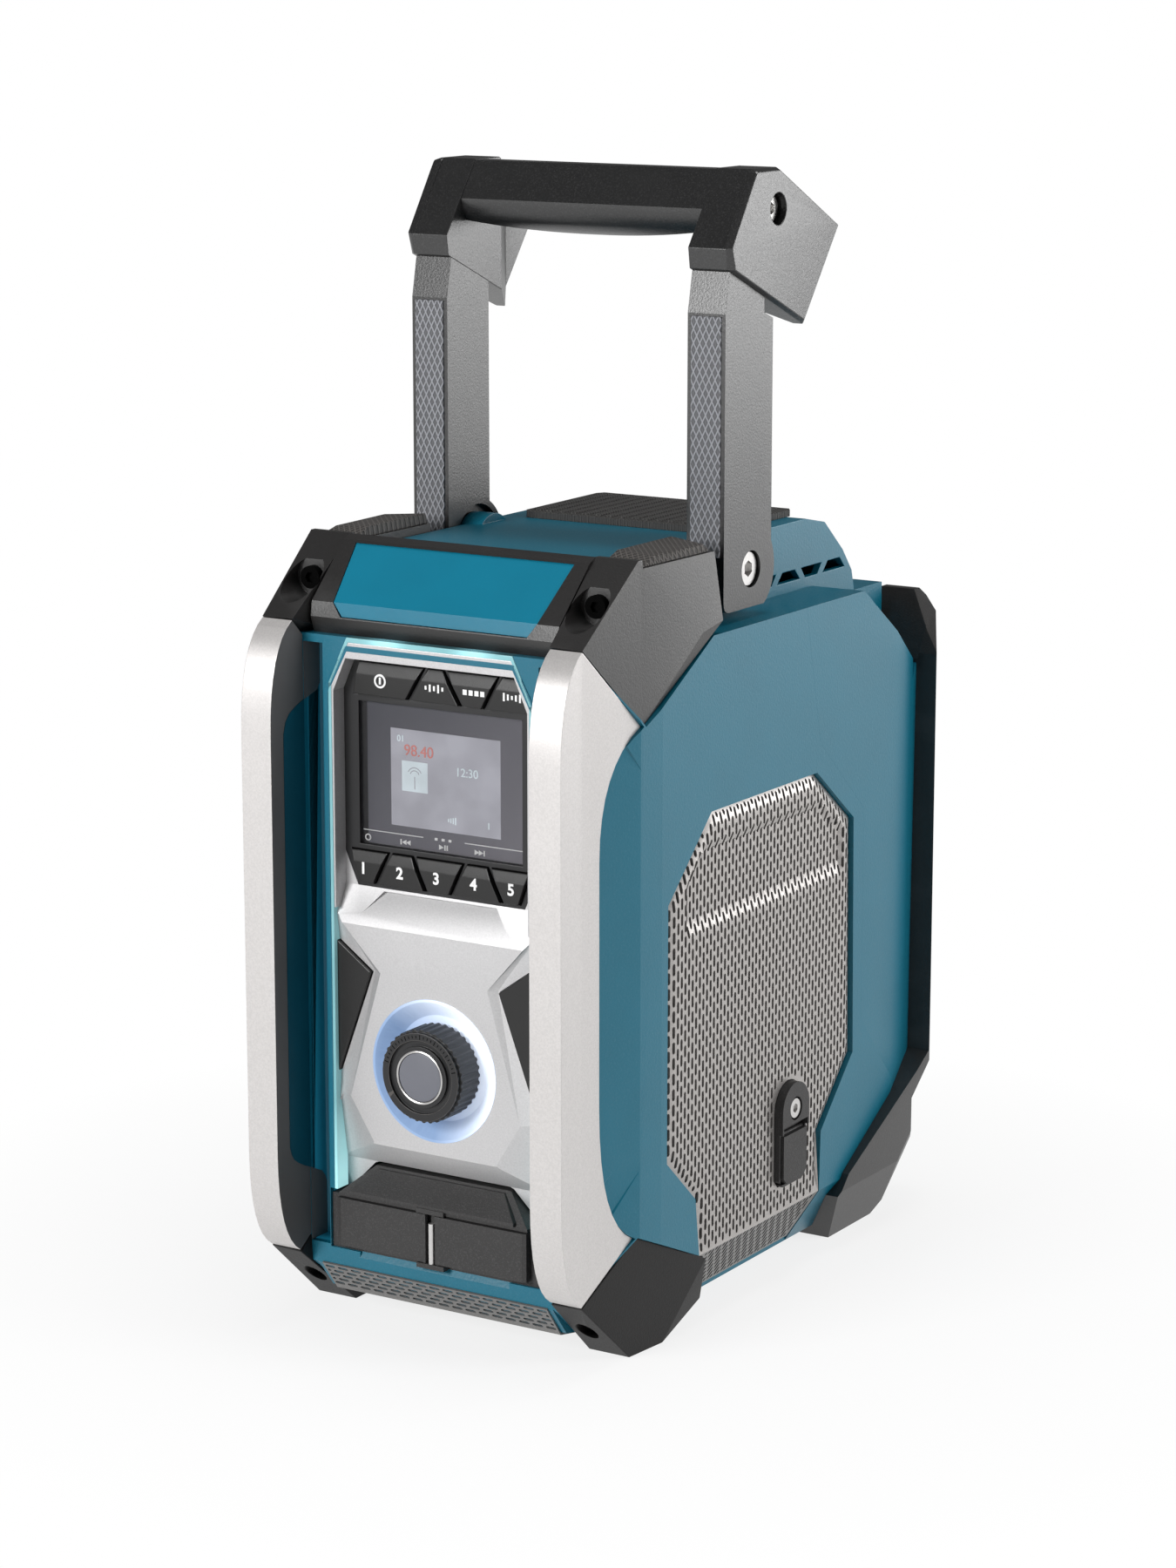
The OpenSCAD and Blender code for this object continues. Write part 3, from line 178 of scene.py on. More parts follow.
def grained(name, color, rough, grain=1400, depth=0.06, spec=0.5, vary=0.06, speck=0.0, scuff=0.0):
    """Moulded plastic or rubber: a fine grain, light specks, faint scuffs and uneven gloss; depth in mm."""
    n = Nodes(name)
    fine = n.noise(grain, 3.0)
    base = n.ramp(n.noise(35), shade(color, 1 - vary), shade(color, 1 + vary))
    if speck:
        dots = n.spread(n.noise(grain * 1.3, 1.0), 0, 1, 0.52, 0.72)
        base = n.blend(dots, base, tuple(value + speck for value in color))
    if scuff:
        rubbed = n.spread(n.noise(22, 5.0, (1, 1, 2.2)), 0, 1, 0.56, 0.8)
        base = n.blend(rubbed, base, tuple(value + scuff for value in color))
    n.feed(Base__Color=base, Roughness=n.spread(fine, rough - 0.07, rough + 0.07))
    n.bump(fine, depth * MM)
    n.set(Specular__IOR__Level=spec)
    return n.mat


def diamonds(name, color, rough, pitch, depth, flat, squash, dark):
    """Rubber with a raised diamond mesh, in mm; flat names the two axes of its face. Its grooves carry
    painted shade and its ridges a painted highlight.
    """
    n = Nodes(name)
    axes = n.axes()
    u, v = (axes[i] for i in flat)
    wave = 2 * math.pi / (pitch * MM)
    slope = n.math("MULTIPLY", v, squash)
    ways = [n.math("SINE", n.math("MULTIPLY", n.math(way, u, slope), wave)) for way in ("ADD", "SUBTRACT")]
    ridge = n.spread(n.math("MAXIMUM", *ways), 0, 1)
    fine = n.noise(1800, 2.0)
    # painted shade in the grooves, painted highlight on the ridges
    n.feed(Base__Color=n.ramp(ridge, shade(color, dark), shade(color, 1.25), 0.3, 1.0),
           Roughness=n.spread(fine, rough - 0.06, rough + 0.08))
    n.bump(ridge, depth * MM, below=n.bump(fine, 0.04 * MM))
    return n.mat


def metal(name, color, rough, grain=900, metallic=1.0, depth=0.01, vary=0.03):
    """Metal or metallic paint with a fine flake; depth in mm."""
    n = Nodes(name)
    fine = n.noise(grain, 3.0)
    n.feed(Base__Color=n.ramp(fine, shade(color, 1 - vary), shade(color, 1 + vary)),
           Roughness=n.spread(n.noise(45), rough - 0.04, rough + 0.04))
    n.set(Metallic=metallic)
    n.bump(fine, depth * MM)
    return n.mat


def sheet_material(name, color, rough):
    """Painted steel sheet."""
    n = Nodes(name)
    fine = n.noise(1500, 2.0)
    n.feed(Base__Color=n.ramp(fine, shade(color, 0.93), shade(color, 1.07)),
           Roughness=n.spread(n.noise(60), rough - 0.04, rough + 0.05))
    n.set(Metallic=0.6)
    n.bump(fine, 0.01 * MM)
    return n.mat


def lit(name, color, emit, strength, rough=0.3):
    """A glowing plastic, lamp-lit in the screen and a painted glow on the white print: its light drifts a
    little from place to place.
    """
    n = Nodes(name)
    wave = n.noise(70, 2.0)
    n.feed(Base__Color=n.ramp(wave, shade(color, 0.92), shade(color, 1.05)),
           Emission__Color=n.ramp(wave, shade(emit, 0.85), shade(emit, 1.1)))
    n.set(Emission__Strength=strength, Roughness=rough)
    return n.mat


def guide_material():
    """The lit line round the panel: brightest over its top lamps and at its feet."""
    lamp_gap = 38 * MM
    n = Nodes("light_guide")
    x, _, z = n.axes()
    spots = n.math("ABSOLUTE", n.math("SINE", n.math("MULTIPLY", x, math.pi / lamp_gap)))
    top = n.spread(z, 0, 1, 250 * MM, 258 * MM)
    glow = n.math("MULTIPLY", n.math("POWER", spots, 6.0), top)
    foot = n.spread(z, 1, 0, 56 * MM, 85 * MM)
    bright = n.math("MULTIPLY", n.math("MAXIMUM", glow, foot), 0.6)
    n.feed(Base__Color=n.ramp(n.noise(60), (0.16, 0.38, 0.42), (0.2, 0.44, 0.48)),
           Emission__Strength=n.math("ADD", bright, 0.16))
    n.set(Emission__Color=(0.45, 0.82, 0.84, 1), Roughness=0.25)
    return n.mat


def lining_material():
    """Teal plastic in the channels with a painted glow that stands for the light guide's light on it,
    strongest near the front.
    """
    n = Nodes("channel_teal_painted_glow")
    near = n.spread(n.axes()[1], 1, 0, -119 * MM, -112.5 * MM)
    n.feed(Base__Color=n.ramp(n.noise(40), (0.001, 0.12, 0.19), (0.001, 0.14, 0.21)),
           Emission__Strength=n.spread(near, 0.028, 0.12),
           Roughness=n.spread(n.noise(900), 0.35, 0.45))
    n.set(Emission__Color=(0.05, 0.6, 0.95, 1))
    return n.mat


def halo_material():
    """The lit bowl round the knob: white at the upper right, blue-grey at the lower left."""
    n = Nodes("halo_bowl")
    x, _, z = n.axes()
    side = n.math("ADD", x, n.math("MULTIPLY", n.math("SUBTRACT", z, KNOB_Z * MM), 0.45))
    fac = n.spread(side, 0, 1, -12 * MM, 20 * MM)
    n.feed(Base__Color=n.blend(fac, (0.25, 0.36, 0.55), (0.72, 0.78, 0.88)),
           Emission__Color=n.blend(fac, (0.16, 0.26, 0.48), (0.8, 0.87, 1.0)),
           Emission__Strength=n.spread(fac, 0.35, 0.6),
           Roughness=n.spread(n.noise(300), 0.28, 0.36))
    return n.mat


def cone_material():
    """Speaker paper with a glossy cap in its middle; the cap's light grey is partly a painted highlight of
    its gloss.
    """
    n = Nodes("cone_paper")
    _, y, z = n.axes()
    away = n.far_from(y, z, [value * MM for value in SPEAKER])
    cap = n.spread(away, 1, 0, (CAP - 0.5) * MM, (CAP + 0.5) * MM)
    paper = n.ramp(n.noise(500), (0.025, 0.025, 0.026), (0.035, 0.035, 0.036))
    n.feed(Base__Color=n.blend(cap, paper, (0.3, 0.3, 0.31)), Roughness=n.spread(cap, 0.75, 0.3))
    n.bump(n.noise(900), 0.1 * MM)
    return n.mat


def lens_material():
    """Smoked clear plastic."""
    n = Nodes("display_glass")
    n.feed(Base__Color=n.ramp(n.noise(40), (0.03, 0.03, 0.035), (0.04, 0.04, 0.045)))
    n.set(Roughness=0.05, Alpha=0.16)
    return n.mat


def screen_material():
    """The dark print behind the lens, with a painted glow for the light through the lens, paler towards its
    lower right, and with a black edge at its left.
    """
    n = Nodes("screen_print")
    x, _, z = n.axes()
    slope = n.math("SUBTRACT", x, n.math("MULTIPLY", z, 0.8))
    pale = n.blend(n.spread(slope, 0, 1, -215 * MM, -120 * MM), (0.052, 0.053, 0.066), (0.14, 0.135, 0.155))
    inner = n.spread(x, 0, 1, -33.1 * MM, -32.7 * MM)
    n.feed(Base__Color=n.blend(inner, (0.004, 0.004, 0.004), pale),
           Emission__Color=n.blend(inner, (0.0, 0.0, 0.0), pale),
           Roughness=n.spread(n.noise(50), 0.34, 0.4))
    n.set(Emission__Strength=0.35)
    return n.mat


# Plastics and rubbers
TEAL = grained("teal_shell", (0.001, 0.13, 0.2), 0.4, 1000, depth=0.07, vary=0.03, speck=0.008)
# A darker copy of the teal shell: painted shade for the shell on the bars' inner flanks
TEAL_PAINTED_SHADE = grained("teal_painted_shade", (0.001, 0.062, 0.1), 0.5, 900, depth=0.02, spec=0.25, vary=0.04)
NAME = grained("teal_plate", (0.002, 0.165, 0.26), 0.32, 900, depth=0.02, vary=0.03)
RUBBER = grained("black_rubber", (0.011, 0.0102, 0.01), 0.42, 1300, spec=0.75, scuff=0.02)
FOOT = grained("foot_rubber", (0.009, 0.0085, 0.0085), 0.5, 1300, spec=0.25)
BLACK = grained("black_plastic", (0.012, 0.012, 0.013), 0.4, 1500, depth=0.03, spec=0.45, vary=0.05)
HANDLE = grained("handle_plastic", (0.007, 0.007, 0.0073), 0.34, 1200, spec=0.85, vary=0.05,
                 speck=0.015, scuff=0.006)
KEY = grained("key_plastic", (0.009, 0.0088, 0.0088), 0.36, 1700, depth=0.03, spec=0.45, vary=0.05)
FLAP = grained("flap_rubber", (0.032, 0.031, 0.031), 0.55, 1500, depth=0.1, spec=0.4, vary=0.05, speck=0.02)
KNOB_FACE = grained("knob_face", (0.075, 0.068, 0.063), 0.42, 1500, depth=0.04, vary=0.04)
KNOB_DISC = grained("knob_disc", (0.15, 0.155, 0.18), 0.5, 1300, depth=0.03, spec=0.4, vary=0.04)
BOARD = grained("solder_mask", (0.01, 0.09, 0.04), 0.3, 500, depth=0.02)
PAD = diamonds("handle_rubber", (0.24, 0.245, 0.265), 0.5, 2.6, 0.35, flat=(0, 2), squash=0.5, dark=0.4)
CORNER = diamonds("corner_rubber", (0.085, 0.078, 0.073), 0.55, 2.4, 0.35, flat=(0, 1), squash=0.8,
                  dark=0.4)
TOPPAD = diamonds("top_rubber", (0.06, 0.058, 0.056), 0.6, 1.6, 0.3, flat=(0, 1), squash=0.9, dark=0.4)

# Metals and paints
# Near black: painted shade for the screws deep in their wells, and the real dark print of the knob's ticks
TICK_AND_WELL_SHADE = grained("tick_black_and_well_shade", (0.0008, 0.0008, 0.0008), 0.8, 900, depth=0.02, spec=0.05)
SILVER = metal("silver_paint", (0.62, 0.6, 0.59), 0.4, 1500, metallic=0.55, depth=0.02, vary=0.05)
# A darker copy of the silver paint: painted shade on the bars' inner flanks
BAR_FLANK_SHADE = grained("silver_paint_painted_shade", (0.11, 0.106, 0.106), 0.5, 1500, depth=0.02, spec=0.3, vary=0.05)
FASCIA_PAINT = metal("fascia_paint", (0.55, 0.545, 0.55), 0.42, 1600, metallic=0.5, depth=0.02, vary=0.05)
SHEET = sheet_material("grille_steel", (0.42, 0.4, 0.385), 0.36)
# The grille steel darkened: painted shade on the belly and on the walls turned in towards it, which face
# down
BELLY_SHEET_SHADE = sheet_material("belly_steel_painted_shade", (0.2, 0.195, 0.19), 0.4)
STEEL = metal("stainless", (0.62, 0.61, 0.6), 0.3, 700, depth=0.005)
ROD = metal("port_rod_steel", (0.62, 0.61, 0.6), 0.3, metallic=0.8)
BRASS = metal("contact_brass", (0.75, 0.55, 0.24), 0.25, 700)
MAGNET = metal("magnet_plating", (0.4, 0.4, 0.42), 0.3, 500)
CONE = cone_material()

# Lit and printed parts; the channel lining, the white print and the print behind the lens glow with painted
# light
GUIDE = guide_material()
HALO = halo_material()
# The channel lining glows: painted light from the guide beside it
LINING_GLOW = lining_material()
# The white print glows a little: painted light for the light on the keys and through the lens
PRINT = lit("white_print", (0.78, 0.78, 0.78), (1.0, 1.0, 1.0), 0.12, rough=0.5)
LENS = lens_material()
SCREEN_BACK = screen_material()
LCD = lit("lcd_lit", (0.2, 0.2, 0.22), (0.6, 0.6, 0.68), 0.5)
LCD_PALE = lit("lcd_pale", (0.5, 0.55, 0.58), (0.7, 0.82, 0.88), 0.5)
LCD_RED = lit("lcd_red", (0.4, 0.12, 0.1), (0.75, 0.3, 0.28), 0.45)


# ---------------------------------------------------------------- geometry

def finish_bmesh(bm, name, mat, body, node=None, sharp=11):
    """Makes the object, which rides on a body, in place of a CAD node when one is given."""
    mesh = bpy.data.meshes.new(name)
    bm.normal_update()
    for face in bm.faces:
        face.smooth = True
    bm.to_mesh(mesh)
    bm.free()
    mesh.set_sharp_from_angle(angle=math.radians(sharp))
    mesh.materials.append(mat)
    ob = bpy.data.objects.new(name, mesh)
    bpy.context.scene.collection.objects.link(ob)
    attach(ob, body)
    if node:
        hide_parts(node)
    return ob


def round_edges(bm, width, angle=13, segments=2):
    """Bevels the edges that are sharper than an angle; width in mm."""
    edges = [e for e in bm.edges if len(e.link_faces) == 2 and e.calc_face_angle(0) > math.radians(angle)]
    if edges:
        bmesh.ops.bevel(bm, geom=edges, offset=width * MM, offset_type="OFFSET", segments=segments,
                        profile=0.6, affect="EDGES", clamp_overlap=True, miter_outer="SHARP")


def dress(node, mat, width=0.4, angle=13, segments=2, bm=None):
    """The CAD node's own shape, or the cut copy bm of it, with its edges rounded, in place of the node."""
    if bm is None:
        bm = bmesh.new()
        bm.from_mesh(NODES[node].data)
    bmesh.ops.remove_doubles(bm, verts=bm.verts, dist=0.002 * MM)
    bmesh.ops.dissolve_limit(bm, angle_limit=math.radians(0.6), verts=bm.verts, edges=bm.edges)
    round_edges(bm, width, angle, segments)
    return finish_bmesh(bm, f"{node}_form", mat, BODY_OF[node], node)


def prism(bm, near, far):
    """Adds the closed form between two outlines of as many points, in mm."""
    ends = [[bm.verts.new(Vector(point) * MM) for point in outline] for outline in (near, far)]
    bm.faces.new(ends[0])
    bm.faces.new(ends[1][::-1])
    for i in range(len(near)):
        j = (i + 1) % len(near)
        bm.faces.new((ends[0][i], ends[1][i], ends[1][j], ends[0][j]))


def upright(bm, outline, low, high):
    """Adds a prism between two heights; its outline is in x and y."""
    prism(bm, [(x, y, low) for x, y in outline], [(x, y, high) for x, y in outline])


def cut_by(node, outlines, low, high):
    """A copy of a node's mesh less some upright prisms."""
    block = bmesh.new()
    for outline in outlines:
        upright(block, outline, low, high)
    bmesh.ops.recalc_face_normals(block, faces=block.faces)
    cutter_mesh = bpy.data.meshes.new("cutter")
    block.to_mesh(cutter_mesh)
    block.free()
    cutter = bpy.data.objects.new("cutter", cutter_mesh)
    body = bpy.data.objects.new("cut_body", NODES[node].data.copy())
    for ob in (cutter, body):
        bpy.context.scene.collection.objects.link(ob)
    step = body.modifiers.new("cut", "BOOLEAN")
    step.operation = "DIFFERENCE"
    step.solver = "EXACT"
    step.object = cutter
    seen = body.evaluated_get(bpy.context.evaluated_depsgraph_get())
    bm = bmesh.new()
    bm.from_mesh(seen.to_mesh())
    seen.to_mesh_clear()
    for ob in (cutter, body):
        bpy.data.objects.remove(ob)
    return bm


def tint(ob, mat, test):
    """Gives the faces whose middle, in mm, and normal pass the test another material."""
    ob.data.materials.append(mat)
    index = len(ob.data.materials) - 1
    for face in ob.data.polygons:
        if test(face.center / MM, face.normal):
            face.material_index = index


def paint(node, mat):
    """Shows the CAD node itself, in a material."""
    NODES[node].data.materials.clear()
    NODES[node].data.materials.append(mat)


def inside(point, outline):
    """Whether a point lies within an outline."""
    hit = False
    x, y = point
    for (x0, y0), (x1, y1) in zip(outline, outline[1:] + outline[:1]):
        if (y0 > y) != (y1 > y) and x < (x1 - x0) * (y - y0) / (y1 - y0) + x0:
            hit = not hit
    return hit


def line_distance(point, line):
    """How far a point lies from the nearest stretch of an open line."""
    found = []
    for start, stop in zip(line, line[1:]):
        way = Vector(stop) - Vector(start)
        off = Vector(point) - Vector(start)
        share = max(0.0, min(1.0, off.dot(way) / way.length_squared))
        found.append((off - share * way).length)
    return min(found)


def arc(center, radius, start, stop, steps):
    """Points on an arc, both ends included; its angles are in radians."""
    angles = [start + (stop - start) * i / steps for i in range(steps + 1)]
    return [(center[0] + radius * math.cos(a), center[1] + radius * math.sin(a)) for a in angles]


def slot_points(u, v, half_w, half_h):
    """A slot with round ends, its long axis along v."""
    straight = half_h - half_w
    return (arc((u, v + straight), half_w, 0, math.pi, 3)
            + arc((u, v - straight), half_w, math.pi, 2 * math.pi, 3))


def crossings(u, outline):
    """Where the line of constant u crosses an outline, from low to high."""
    found = []
    for (u0, v0), (u1, v1) in zip(outline, outline[1:] + outline[:1]):
        if (u0 > u) != (u1 > u):
            found.append(v0 + (v1 - v0) * (u - u0) / (u1 - u0))
    return sorted(found)


def without(stretches, low, high):
    """The stretches of a line that are left once the part from low to high is out."""
    parts = [p for a, b in stretches for p in ((a, min(b, low)), (max(a, high), b))]
    return [(a, b) for a, b in parts if b > a]


def slot_field(outline, start, bends=(), holes=(), clear=0.9):
    """Columns of slots, every other one half a pitch higher, cut short at edges, bends and holes.

    One slot has its middle at start, and clear is the steel left round each slot.
    """
    loops = []
    half_w, half_h = SLOT
    pitch_u, pitch_v = PITCH
    side = half_w + clear
    first = math.ceil((min(u for u, v in outline) + side - start[0]) / pitch_u)
    last = math.floor((max(u for u, v in outline) - side - start[0]) / pitch_u)
    for k in range(first, last + 1):
        u = start[0] + k * pitch_u
        ends = [crossings(u + d, outline) for d in (-side, side)]
        low = max(end[0] for end in ends)
        high = min(end[-1] for end in ends)
        free = [(low + clear, high - clear)]
        for bend in bends:
            free = without(free, bend - clear, bend + clear)
        for hole in holes:
            met = [c for d in (-side, 0, side) for c in crossings(u + d, hole)]
            if met:
                free = without(free, min(met) - clear, max(met) + clear)
        phase = start[1] + (k % 2) * pitch_v / 2
        for j in range(math.floor((low - phase) / pitch_v), math.ceil((high - phase) / pitch_v) + 1):
            v = phase + j * pitch_v
            for a, b in free:
                bottom = max(a, v - half_h)
                top = min(b, v + half_h)
                if top - bottom > 2 * half_w:
                    loops.append(slot_points(u, (top + bottom) / 2, half_w, (top - bottom) / 2))
    return loops


def perforated(name, outline, holes, place, thick, mat, body, node, folds=()):
    """A thin sheet with holes; place(u, v, depth) puts each point in space, in millimetres.

    Every hole is convex, and folds are pairs of outline points that a bend joins.
    """
    points = []
    edges = list(folds)
    loop_of = []
    for k, loop in enumerate([outline] + holes):
        first = len(points)
        points += [Vector(point) for point in loop]
        loop_of += [k] * len(loop)
        edges += [(first + i, first + (i + 1) % len(loop)) for i in range(len(loop))]
    verts, _, faces, origin, *_ = delaunay_2d_cdt(points, edges, [], 1, 1e-5)
    loop_of = [loop_of[olds[0]] for olds in origin]
    bm = bmesh.new()
    layers = [[bm.verts.new(Vector(place(p.x, p.y, depth)) * MM) for p in verts] for depth in (0, thick)]
    sides = set()
    for face in faces:
        loops = {loop_of[i] for i in face}
        if len(loops) == 1 and 0 not in loops:
            continue  # all corners on one hole: the face would fill it
        bm.faces.new([layers[0][i] for i in face])
        bm.faces.new([layers[1][i] for i in reversed(face)])
        sides.update(zip(face, list(face[1:]) + [face[0]]))
    for a, b in sides:
        if (b, a) not in sides:
            bm.faces.new([layers[0][b], layers[0][a], layers[1][a], layers[1][b]])
    for v in [v for v in bm.verts if not v.link_faces]:
        bm.verts.remove(v)
    bmesh.ops.recalc_face_normals(bm, faces=bm.faces)
    return finish_bmesh(bm, name, mat, body, node, 30)


# ---------------------------------------------------------------- grilles

PITCH = (2.61, 5.885)    # from one column of slots to the next, and between the slots of a column
SLOT = (0.75, 2.33)      # half a slot's width and half its length
SLOT_AT = (1.65, 121.4)  # middle of one slot of the side grilles, in y and z
TURN_RUN = math.hypot(SIDE - BELLY[0], TURN_Z - BELLY[1])  # length of the turned-in wall
SKIRT = TURN_Z - TURN_RUN + 2.5                            # where the side sheets end, along the sheet

# Outline of a side sheet in y and in height along the sheet, and of the shallow panel pressed into it
GRILLE = [(-45.4, SKIRT), (-49.9, 25.6), (-55.2, TURN_Z), (-58.2, 51.2), (-78.9, 70.2), (-78.7, 166.9),
          (-48.2, 195.7), (31.6, 195.7), (61.3, 172.9), (63.2, 78.1), (37.8, 52.1), (37.0, TURN_Z),
          (37.0, SKIRT)]
FOLD = tuple(i for i, (u, v) in enumerate(GRILLE) if v == TURN_Z)
PANEL = [(-65.5, 152), (-65.5, 171.5), (-52, 183.3), (34, 183.3), (53.5, 170.5), (53.5, 152)]

# The hole that the DC cover's base fills: a round top about an axis, and a chamfered foot
DC_AXIS = (12, 68.5)
DC_HOLE = 10.8
DC_LOW = 38.2
DC_CUT = (3.0, 3.2)


def sheet_dip(u, v):
    """How deep the side sheet lies: it rolls in at its rim and has a shallow pressed panel."""
    rim, rim_depth, fade = 7.0, 2.0, 8
    panel_depth, flank, top_flank = 1.4, 0.9, 0.27
    near = max(0.0, 1 - line_distance((u, v), GRILLE[FOLD[0]:FOLD[1] + 1]) / rim)
    dip = rim_depth * near ** 2 * min(1.0, (v - TURN_Z) / fade)
    if inside((u, v), PANEL):
        dip += min(panel_depth, line_distance((u, v), PANEL) * flank, (v - PANEL[0][1]) * top_flank)
    return dip


def side_grille(side):
    """The pressed sheet over a speaker, which goes on round the turn towards the belly."""
    inward = (SIDE - BELLY[0]) / TURN_RUN
    downward = (TURN_Z - BELLY[1]) / TURN_RUN

    def place(u, v, depth):
        if v < TURN_Z:
            run = TURN_Z - v
            under = 0.3 + depth
            x = SIDE - run * inward - under * downward
            return side * x, u, TURN_Z - run * downward + under * inward
        return side * (SIDE - 0.2 - sheet_dip(u, v) - depth), u, v

    holes = []
    if side > 0:
        y = DC_AXIS[0]
        foot = [(y - DC_HOLE, DC_LOW + DC_CUT[1]), (y - DC_HOLE + DC_CUT[0], DC_LOW),
                (y + DC_HOLE - DC_CUT[0], DC_LOW), (y + DC_HOLE, DC_LOW + DC_CUT[1])]
        holes = [foot + arc(DC_AXIS, DC_HOLE, 0, math.pi, 16)]
    slots = slot_field(GRILLE, SLOT_AT, bends=[TURN_Z], holes=holes)
    node = "grille_right" if side > 0 else "grille_left"
    sheet = perforated(f"{node}_sheet", GRILLE, slots + holes, place, 0.8, SHEET, "casing", node, [FOLD])
    # Below the turn the same sheet takes the darker steel, a painted shade
    tint(sheet, BELLY_SHEET_SHADE, lambda c, n: c.z < TURN_Z - 0.4)


def belly_grille():
    """The sheet goes on from the lip of the front to the rear of the belly; its slots lie along x."""
    lip, chin = (FRONT - 0.8, 22.2), (FRONT + 8.6, 9.7)
    belly, end = (FRONT + 36, 4.1), (93.6, 4.1)
    path = [lip, chin, belly, end]
    half_width = 49.8
    steps = [0.0]
    for (y0, z0), (y1, z1) in zip(path, path[1:]):
        steps.append(steps[-1] + math.hypot(y1 - y0, z1 - z0))

    def place(u, v, depth):
        i = max(k for k in range(len(path) - 1) if u >= steps[k] - 1e-6)
        run = steps[i + 1] - steps[i]
        share = (u - steps[i]) / run
        (y0, z0), (y1, z1) = path[i], path[i + 1]
        return (v, y0 + share * (y1 - y0) - (z1 - z0) / run * depth,
                z0 + share * (z1 - z0) + (y1 - y0) / run * depth)

    outline = [(u, -half_width) for u in steps] + [(u, half_width) for u in reversed(steps)]
    slots = []
    for low, high in zip(steps, steps[1:]):
        part = [(low, -half_width), (high, -half_width), (high, half_width), (low, half_width)]
        slots += slot_field(part, (low + 1.75, 0), clear=0.6)
    folds = [(i, len(outline) - 1 - i) for i in range(1, len(steps) - 1)]
    # The belly sheet is in the darker steel, a painted shade
    perforated("belly_sheet", outline, slots, place, 0.7, BELLY_SHEET_SHADE, "casing", "belly_grille", folds)


# ---------------------------------------------------------------- front

def on_side(side, line):
    """A line, whose points start with their x, at the right (1) or mirrored to the left (-1)."""
    return [(side * x, other) for x, other in line]


def front_channels():
    """The deep channels that run down the casing's front beside the bars, with their teal lining."""
    low, high = 30, 258
    wall = 0.8
    lip = -118.2
    out = BAR_IN - 0.1
    floor = [(out, -110.5), (52, -109.5), (48.4, -112)]
    cut = [(out, FRONT - 1), *floor, (46.2, FRONT - 1)]
    inner = [(out, lip), *floor, (46.9, lip)]
    outer = [(out + wall, lip), (out + wall, -110.5 + wall), (52, -109.5 + wall),
             (48.4 - wall, -112 + wall), (46.9 - wall, lip)]
    housing = cut_by("front_housing", [on_side(side, cut) for side in (1, -1)], low, high)
    dress("front_housing", TEAL, 0.5, bm=housing)
    bm = bmesh.new()
    for side in (1, -1):
        upright(bm, on_side(side, inner + outer[::-1]), low - wall, high + wall)
        for z in (low, high):
            bm.faces.new([bm.verts.new(Vector((x, y, z)) * MM) for x, y in on_side(side, inner)])
    bmesh.ops.recalc_face_normals(bm, faces=bm.faces)
    finish_bmesh(bm, "channel_lining", LINING_GLOW, "casing")


def sheet_on_flank(name, outline, x, mat):
    """Thin sheets on the inner flanks of both bars, at this x; their outline is in y and z."""
    bm = bmesh.new()
    for side in (1, -1):
        prism(bm, *([(side * at, y, z) for y, z in outline] for at in (x, x - 0.25)))
    bmesh.ops.recalc_face_normals(bm, faces=bm.faces)
    finish_bmesh(bm, name, mat, "casing")


def bar_flanks():
    """The teal shell covers the middle of each bar's inner flank; at its ends the bar reaches back. Both
    are darker copies of their paint, painted shade deep beside the channels.
    """
    middle = [(FRONT, 236.4), (-125.8, 234.4), (-129.6, 232.4), (-132, 229.6), (-133.3, 225.3),
              (-133.3, 69.3), (-132.2, 66), (-130.6, 63.8), (-128.2, 62.1), (-124.5, 60.1), (FRONT, 58.4)]
    sheet_on_flank("shell_flank", middle, BAR_IN, TEAL_PAINTED_SHADE)
    front, back = FRONT + 0.1, -110.7
    upper = [(front, 236.4), (-112.6, 238.6), (back, 241), (back, 257.8), (front, 257.8)]
    lower = [(front, 58.4), (-113.8, 55.3), (-111.6, 52.9), (back, 50.5), (back, 30.2), (front, 30.2)]
    for name, outline in (("upper", upper), ("lower", lower)):
        sheet_on_flank(f"bar_flank_{name}", outline, BAR_IN - 0.12, BAR_FLANK_SHADE)


def arch(name, outer, inner, front, back, mat):
    """A band over the panel, between two lines in x and z that are given at the right, from the foot up."""
    outer, inner = (on_side(-1, line) + line[::-1] for line in (outer, inner))
    bm = bmesh.new()
    rows = [[bm.verts.new(Vector((x, y, z)) * MM) for x, z in line]
            for line, y in ((outer, front), (inner, front), (inner, back), (outer, back))]
    for a, b in zip(rows, rows[1:] + rows[:1]):
        for i in range(len(a) - 1):
            bm.faces.new((a[i], a[i + 1], b[i + 1], b[i]))
    for end in (0, -1):
        bm.faces.new([row[end] for row in rows])
    bmesh.ops.recalc_face_normals(bm, faces=bm.faces)
    round_edges(bm, 0.25, 30, 2)
    finish_bmesh(bm, name, mat, "casing")


def panel_bands():
    """The lit line and the silver rim that frame the panel in front of the guide's body."""
    outer = [(43.9, 52), (43.9, 243.8), (35.6, 261)]
    middle = [(42.6, 52), (42.6, 243.4), (35.0, 259.2)]
    arch("guide_line", outer, middle, FRONT - 0.4, SCREEN - 0.5, GUIDE)
    rim = [(42.5, 160), *middle[1:]]
    inner = [(41.7, 160), (41.7, 241), (36.2, 253.3)]
    arch("panel_rim", rim, inner, FRONT - 0.3, SCREEN - 0.4, FASCIA_PAINT)


# ---------------------------------------------------------------- marks

KEY_FACE = SCREEN - 2.6  # plane of the keys' faces
KEY_BEND = 247.3         # height above which the upper keys slope back
LCD_FACE = SCREEN + 1.3


